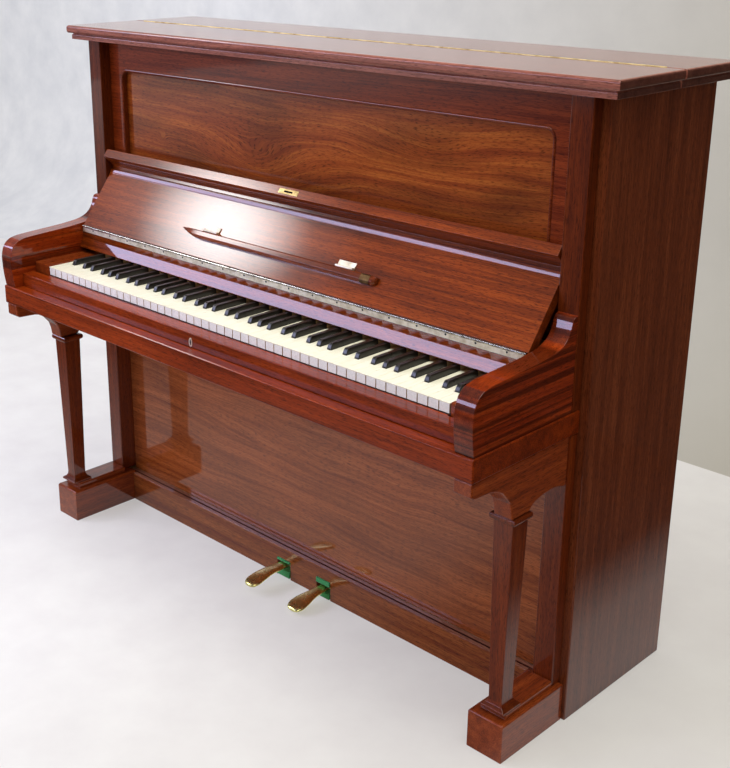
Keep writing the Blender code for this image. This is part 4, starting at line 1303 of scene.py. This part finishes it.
@dataclass
class Pedals:
    """The two brass pedals, swelling to a rounded sole, between green felts in the slots of the kick rail."""

    places: dict[str, float] = field(default_factory=lambda: {"left": -53 * MM, "right": 74 * MM})
    pivot: Point2 = (18 * MM, 34 * MM)
    case: float = -18 * MM
    slot_half: float = 20.4 * MM
    stations: dict[str, tuple[tuple[float, ...], ...]] = field(
        default_factory=lambda: {
            "left": (
                (5, 33, 12, 6.5),
                (-30, 34, 13.5, 6),
                (-55, 35, 15.5, 5.5),
                (-80, 33, 19, 5),
                (-100, 29, 20.5, 4.8),
                (-110, 26.6, 18.6, 4.4),
                (-116, 25, 14.6, 3.7),
                (-119, 24.2, 9, 2.6),
            ),
            "right": (
                (5, 26, 12, 6.5),
                (-30, 24, 12.5, 6),
                (-50, 23, 15.5, 5.5),
                (-72, 20, 21, 5),
                (-90, 16, 22.5, 4.8),
                (-99, 13.5, 20, 4.4),
                (-104.5, 11.9, 15.6, 3.7),
                (-107, 11.1, 9.6, 2.6),
            ),
        }
    )
    felts: dict[str, tuple[Point2, ...]] = field(
        default_factory=lambda: {
            "left": ((40.8, 45.8), (4.0, 21.5)),
            "right": ((34.5, 45.8), (3.0, 16.5)),
        }
    )

    def ring(self, x: float, y: float, z: float, wide: float, high: float) -> list[Point]:
        """Return one rounded section of a pedal.

        Args:
            x: Its middle in the width.
            y: Its place in the depth.
            z: Its middle in the height.
            wide: Half its width.
            high: Half its height.
        """
        points = []
        for i in range(20):
            turn = 2 * math.pi * i / 20
            c, s = math.cos(turn), math.sin(turn)
            squared_x = math.copysign(abs(c) ** 0.75, c)
            squared_z = math.copysign(abs(s) ** 0.75, s)
            points.append((x + wide * squared_x, y, z + high * squared_z))
        return points

    def build(self) -> None:
        """Cast both pedals and lay their felts."""
        y, z = self.pivot
        for side, x in self.places.items():
            node = side + "_pedal"
            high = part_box(node)[1]
            tail = [(high.y, z, 9 * MM, 5 * MM), (y, z, 11 * MM, 8 * MM)]
            tread = [
                (self.case + a * MM, b * MM, c * MM, d * MM) for a, b, c, d in self.stations[side]
            ]
            line = smooth(tread, 3)
            shape = Shape().loft([self.ring(x, *station) for station in tail + line])
            stud = high.y - 12 * MM
            shape.pin((x, stud, z), (x, stud, high.z), 4 * MM, 14)
            pedal = shape.lay(node + "_cast", PEDAL_BRASS, node, "brass", (node,))
            soften(pedal, 0.5 * MM, 2)
            felt = Shape()
            for low, top in self.felts[side]:
                felt.block((x - self.slot_half, -30 * MM, low * MM), (x + self.slot_half, -8 * MM, top * MM))
            felt.lay(side + "_pedal_felts", GREEN_FELT, "case", "beech", (), 1.0 * MM)
        LOG.info("pedals cast")


@dataclass
class Action:
    """What the lid hides: felted hammers and dampers, strings, and tuning pins in the wrest plank."""

    notes: int = 85
    spread: float = 1200 * MM
    hammer_axis: Point2 = (118 * MM, 800 * MM)
    damper_axis: Point2 = (128 * MM, 770 * MM)
    string_y: float = 206.6 * MM

    def place(self, note: int) -> float:
        """Return a note's place in the width.

        Args:
            note: The note, from the bass.
        """
        return self.spread * (note / (self.notes - 1) - 0.5)

    def felts(self) -> None:
        """Cover the hammers' noses and the dampers' faces with felt."""
        y, z = self.hammer_axis
        profile = ((24.5, 118.6), (35, 121.5), (43.6, 127), (44.6, 129), (43.6, 131), (35, 136.8), (24.5, 139.6))
        hammers = Shape()
        for note in range(self.notes):
            x = self.place(note)
            # Bass hammers carry thicker felt than those of the treble.
            half = (4.6 - 0.5 * note / self.notes) * MM
            hammers.slab([(y + a * MM, z + b * MM) for a, b in profile], x - half, x + half)
        hammers.lay("hammer_felts", WHITE_FELT, "hammers", "beech", (), 0.5 * MM)
        y, z = self.damper_axis
        dampers = Shape()
        for note in range(62):
            x = self.place(note)
            low = (x - 3.4 * MM, y + 71 * MM, z + 74 * MM)
            dampers.block(low, (x + 3.4 * MM, y + 77.8 * MM, z + 103 * MM))
        dampers.lay("damper_felts", WHITE_FELT, "dampers", "beech")

    def strings(self) -> None:
        """String every note with one, two or three wires, and drive a tuning pin for each."""
        wound, plain_wire, pins = Shape(), Shape(), Shape()
        for note in range(self.notes):
            count = 1 if note < 10 else 2 if note < 28 else 3
            bass = note < 28
            shape = wound if bass else plain_wire
            radius = (0.8 if note < 10 else 0.6 if bass else 0.4) * MM
            foot = (0.17 if bass else 0.17 + 0.35 * (note - 28) / 57) * 1.0
            for number, shift in enumerate(centred(count, 2.4 * MM)):
                x = self.place(note) + shift
                tuner = 1.035 + 0.030 * number + 0.012 * (note % 2)
                shape.pin((x, self.string_y, foot), (x, self.string_y, tuner), radius, 6)
                # A tuning pin leans up a little, so that the wire draws it home.
                pins.pin((x, 220 * MM, tuner), (x, 191 * MM, tuner + 3 * MM), 2.9 * MM, 10, True)
        wound.lay("bass_strings", COPPER_WIRE, "case", "nickel")
        plain_wire.lay("steel_strings", MUSIC_WIRE, "case", "nickel")
        pins.lay("tuning_pins", MUSIC_WIRE, "case", "nickel")

    def build(self) -> None:
        """Build the inside."""
        self.felts()
        self.strings()
        LOG.info("action ready")


@dataclass
class Studio:
    """A pale paper sweep, a window on the left, soft top light and the photograph's camera."""

    place: Point = (1.7552, -1.7312, 1.4341)
    yaw: float = 45.8
    pitch: float = -19.0
    roll: float = -0.2
    focal: float = 57.28
    shift: Point2 = (0.0846, -0.0579)

    def camera(self) -> None:
        """Place the camera that was fitted to the photograph."""
        yaw, pitch, roll = (math.radians(a) for a in (self.yaw, self.pitch, self.roll))
        ahead = Vector((-math.sin(yaw) * math.cos(pitch), math.cos(yaw) * math.cos(pitch), math.sin(pitch)))
        right = ahead.cross(Vector((0, 0, 1))).normalized()
        up = right.cross(ahead)
        across = math.cos(roll) * right + math.sin(roll) * up
        upward = -math.sin(roll) * right + math.cos(roll) * up
        turn = Matrix((across, upward, -ahead)).transposed()
        data = bpy.data.cameras.new("photograph_camera")
        data.lens = self.focal
        data.sensor_width = 36.0
        data.shift_x, data.shift_y = self.shift
        data.clip_end = 100.0
        camera = bpy.data.objects.new("photograph_camera", data)
        camera.matrix_world = Matrix.Translation(Vector(self.place)) @ turn.to_4x4()
        bpy.context.scene.collection.objects.link(camera)
        bpy.context.scene.camera = camera

    def paper(self, name: str, seen: float, see_through: bool) -> bpy.types.Material:
        """Make the material of the pale paper.

        The camera sees part of it at its own colour, whatever the lamps do, and the rest is lit and takes the
        piano's shadow. Its colour turns warmer and greyer to the right, as painted shade. For rays off polish it glows
        as a painted reflection: pale on the left and near the piano, with a painted shadow in front of the right leg,
        and dark to the right.

        Args:
            name: The material's name.
            seen: How much of it the camera sees unlit.
            see_through: Whether its back is clear, so that views from behind aren't blocked.
        """
        ends = ("DCDDE2", "ECECEF", "B4AEA2") if see_through else ("EAE7E7", "F2F0EF", "CCC5B9")
        material = bpy.data.materials.new(name)
        material.use_nodes = True
        tree = material.node_tree
        shader = tree.nodes["Principled BSDF"]
        output = tree.nodes["Material Output"]
        geometry = add(tree, "NewGeometry", {}, {})
        crumple = add(
            tree, "TexNoise", {"Scale": 7.0, "Detail": 5.0, "Roughness": 0.6}, {"Vector": geometry.outputs["Position"]}
        )
        tone = add(tree, "ValToRGB", {}, {"Fac": crumple.outputs["Fac"]})
        ramp(tone, [(0.3, ends[0]), (0.7, ends[1])])
        parts = add(tree, "SeparateXYZ", {}, {0: geometry.outputs["Position"]})
        # Painted shade: the paper's colour turns warmer and greyer to the right, away from the window.
        away = add(tree, "MapRange", {"From Min": -2.2, "From Max": 0.5} if see_through else {"From Min": -0.2, "From Max": 2.0}, {"Value": parts.outputs["X"]})
        shaded = add(
            tree,
            "Mix",
            {"data_type": "RGBA", 7: linear(ends[2])},
            {0: away.outputs["Result"], 6: tone.outputs["Color"]},
        )
        paint = shaded.outputs[2]
        tree.links.new(paint, shader.inputs["Base Color"])
        shader.inputs["Roughness"].default_value = 0.9
        shader.inputs["Specular IOR Level"].default_value = 0.1
        # Painted reflection: for rays off polish the paper glows pale round the piano and to the far left, and dark to
        # the right, as a dark room would.
        reach = add(tree, "VectorMath", {"operation": "LENGTH"}, {0: geometry.outputs["Position"]})
        near = add(
            tree,
            "MapRange",
            {"From Min": 0.8, "From Max": 1.9, "To Min": 1.0 if see_through else 0.74, "To Max": 1.0 if see_through else 0.05},
            {"Value": reach.outputs["Value"]},
        )
        left = add(
            tree,
            "MapRange",
            {"From Min": -6.2, "From Max": -3.4, "To Min": 0.8, "To Max": 0.05},
            {"Value": parts.outputs["X"]},
        )
        pale = add(
            tree, "Math", {"operation": "MAXIMUM"}, {0: near.outputs["Result"], 1: left.outputs["Result"]}
        )
        # Painted shadow in that reflection: a dimmer patch in front of the right leg, where the piano shades the
        # floor, and the paper ends further right.
        right = add(tree, "ValToRGB", {}, {"Fac": parts.outputs["X"]})
        dim = "FFFFFF" if see_through else "9A9A9A"
        ramp(right, [(0.1, "FFFFFF"), (0.34, dim), (0.64, dim), (0.72, "FFFFFF"), (0.86, "FFFFFF"), (1.0, "303030")])
        mirrored = add(
            tree, "Math", {"operation": "MULTIPLY"}, {0: pale.outputs["Value"], 1: right.outputs["Color"]}
        )
        path = add(tree, "LightPath", {}, {})
        glossy = path.outputs["Is Glossy Ray"]
        level = add(
            tree,
            "Mix",
            {"data_type": "FLOAT"},
            {0: glossy, 3: mirrored.outputs["Value"]},
        )
        level.inputs[2].default_value = 1.0
        glow = add(tree, "Emission", {}, {"Color": paint, "Strength": level.outputs[0]})
        first = add(
            tree,
            "Math",
            {"operation": "MAXIMUM"},
            {0: path.outputs["Is Camera Ray"], 1: path.outputs["Is Transmission Ray"]},
        )
        share = add(tree, "Math", {"operation": "MULTIPLY", 1: seen}, {0: first.outputs["Value"]})
        both = add(tree, "Math", {"operation": "MAXIMUM"}, {0: share.outputs["Value"], 1: glossy})
        mixed = add(
            tree,
            "MixShader",
            {},
            {0: both.outputs["Value"], 1: shader.outputs["BSDF"], 2: glow.outputs["Emission"]},
        )
        if see_through:
            clear = add(tree, "BsdfTransparent", {}, {})
            mixed = add(
                tree,
                "MixShader",
                {},
                {0: geometry.outputs["Backfacing"], 1: mixed.outputs["Shader"], 2: clear.outputs["BSDF"]},
            )
        tree.links.new(mixed.outputs["Shader"], output.inputs["Surface"])
        return material

    def sweep(self) -> None:
        """Lay the paper floor and hang the wall, which meet in a cove behind the piano."""
        wall, radius, top, half = 1.75, 0.55, 4.2, 8.0
        bend = [
            (wall - radius + radius * math.sin(a), radius - radius * math.cos(a))
            for a in (math.radians(5 * step) for step in range(19))
        ]
        for name, line, seen, clear in (
            ("paper_floor", [(-9.0, 0.0), bend[0]], 0.45, False),
            ("paper_wall", [*bend, (wall, top)], 0.65, True),
        ):
            mesh = bpy.data.meshes.new(name)
            points = [(x, y, z) for y, z in line for x in (-half, half)]
            faces = [(2 * i, 2 * i + 1, 2 * i + 3, 2 * i + 2) for i in range(len(line) - 1)]
            mesh.from_pydata(points, [], faces)
            mesh.materials.append(self.paper(name, seen, clear))
            for face in mesh.polygons:
                face.use_smooth = True
            item = bpy.data.objects.new(name, mesh)
            bpy.context.scene.collection.objects.link(item)

    def light(
        self,
        name: str,
        place: Point,
        target: Point,
        size: Point2,
        power: float,
        tint: str = "FFFFFF",
        faded: bool = False,
    ) -> None:
        """Hang one soft box.

        Args:
            name: The lamp's name.
            place: Where it hangs.
            target: Where it points.
            size: Its width and height.
            power: Its power in watts.
            tint: Its colour.
            faded: Whether it dims from its middle to its rim, so that its mirror image has no edge.
        """
        data = bpy.data.lights.new(name, "AREA")
        data.shape = "RECTANGLE"
        data.size, data.size_y = size
        data.energy = power
        data.color = linear(tint)[:3]
        if faded:
            data.use_nodes = True
            tree = data.node_tree
            lit = add(tree, "NewGeometry", {}, {})
            middle = add(tree, "VectorMath", {"operation": "DISTANCE", 1: (0.5, 0.5, 0.0)}, {0: lit.outputs["Parametric"]})
            rim = {"interpolation_type": "SMOOTHSTEP", "From Min": 0.05, "From Max": 0.5, "To Min": 1.0, "To Max": 0.0}
            glow = add(tree, "MapRange", rim, {"Value": middle.outputs["Value"]})
            tree.links.new(glow.outputs["Result"], tree.nodes["Emission"].inputs["Strength"])
        lamp = bpy.data.objects.new(name, data)
        lamp.location = place
        aim = Vector(target) - Vector(place)
        lamp.rotation_euler = aim.to_track_quat("-Z", "Y").to_euler()
        bpy.context.scene.collection.objects.link(lamp)

    def world(self) -> None:
        """Fill the room with even light. The camera sees it pale, and polish sees a dim room."""
        world = bpy.data.worlds.new("studio_room")
        world.use_nodes = True
        tree = world.node_tree
        tree.nodes.clear()
        fill = add(tree, "Background", {"Color": linear("E6E4E4"), "Strength": 0.62}, {})
        seen = add(tree, "Background", {"Color": linear("F0EFEE"), "Strength": 1.0}, {})
        place = add(tree, "TexCoord", {}, {})
        parts = add(tree, "SeparateXYZ", {}, {0: place.outputs["Generated"]})
        side = add(
            tree,
            "MapRange",
            {"From Min": -0.9, "From Max": 0.3, "To Min": 0.32, "To Max": 0.04},
            {"Value": parts.outputs["X"]},
        )
        room = add(tree, "Background", {"Color": linear("E8E4EC")}, {"Strength": side.outputs["Result"]})
        path = add(tree, "LightPath", {}, {})
        dim = add(
            tree,
            "MixShader",
            {},
            {0: path.outputs["Is Glossy Ray"], 1: fill.outputs["Background"], 2: room.outputs["Background"]},
        )
        pale = add(
            tree,
            "Math",
            {"operation": "MAXIMUM"},
            {0: path.outputs["Is Camera Ray"], 1: path.outputs["Is Transmission Ray"]},
        )
        mixed = add(
            tree,
            "MixShader",
            {},
            {0: pale.outputs["Value"], 1: dim.outputs["Shader"], 2: seen.outputs["Background"]},
        )
        add(tree, "OutputWorld", {}, {"Surface": mixed.outputs["Shader"]})
        bpy.context.scene.world = world

    def build(self) -> None:
        """Set up the whole studio."""
        self.camera()
        self.sweep()
        self.world()
        # The window's reflection lights the name strip, and the two on the left make the glare on the fall.
        self.light("window", (-1.86, -2.18, 1.66), (0.18, -0.115, 0.72), (2.4, 0.64), 46.0, "CED2FF")
        self.light("glare", (-2.40, -1.31, 2.41), (-0.3, -0.07, 0.84), (0.8, 0.9), 34.0, "FFFFFF", True)
        self.light("glare_halo", (-2.62, -1.38, 2.60), (-0.3, -0.07, 0.84), (1.5, 1.5), 15.0, "FFFFFF", True)
        self.light("soft_top", (0.6, -0.6, 3.3), (0.1, -0.1, 0.6), (2.4, 2.0), 78.0, "FFFFF4")
        bpy.context.scene.view_settings.view_transform = "Standard"
        LOG.info("studio ready")


def main() -> None:
    """Build the looks of the piano."""
    logging.basicConfig(level=logging.INFO)
    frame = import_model()
    Cabinet().build(frame["nodes"])
    Arms().build()
    Fall().build()
    Keyboard().build()
    Pedals().build()
    Action().build()
    Studio().build()


if __name__ == "__main__":
    main()
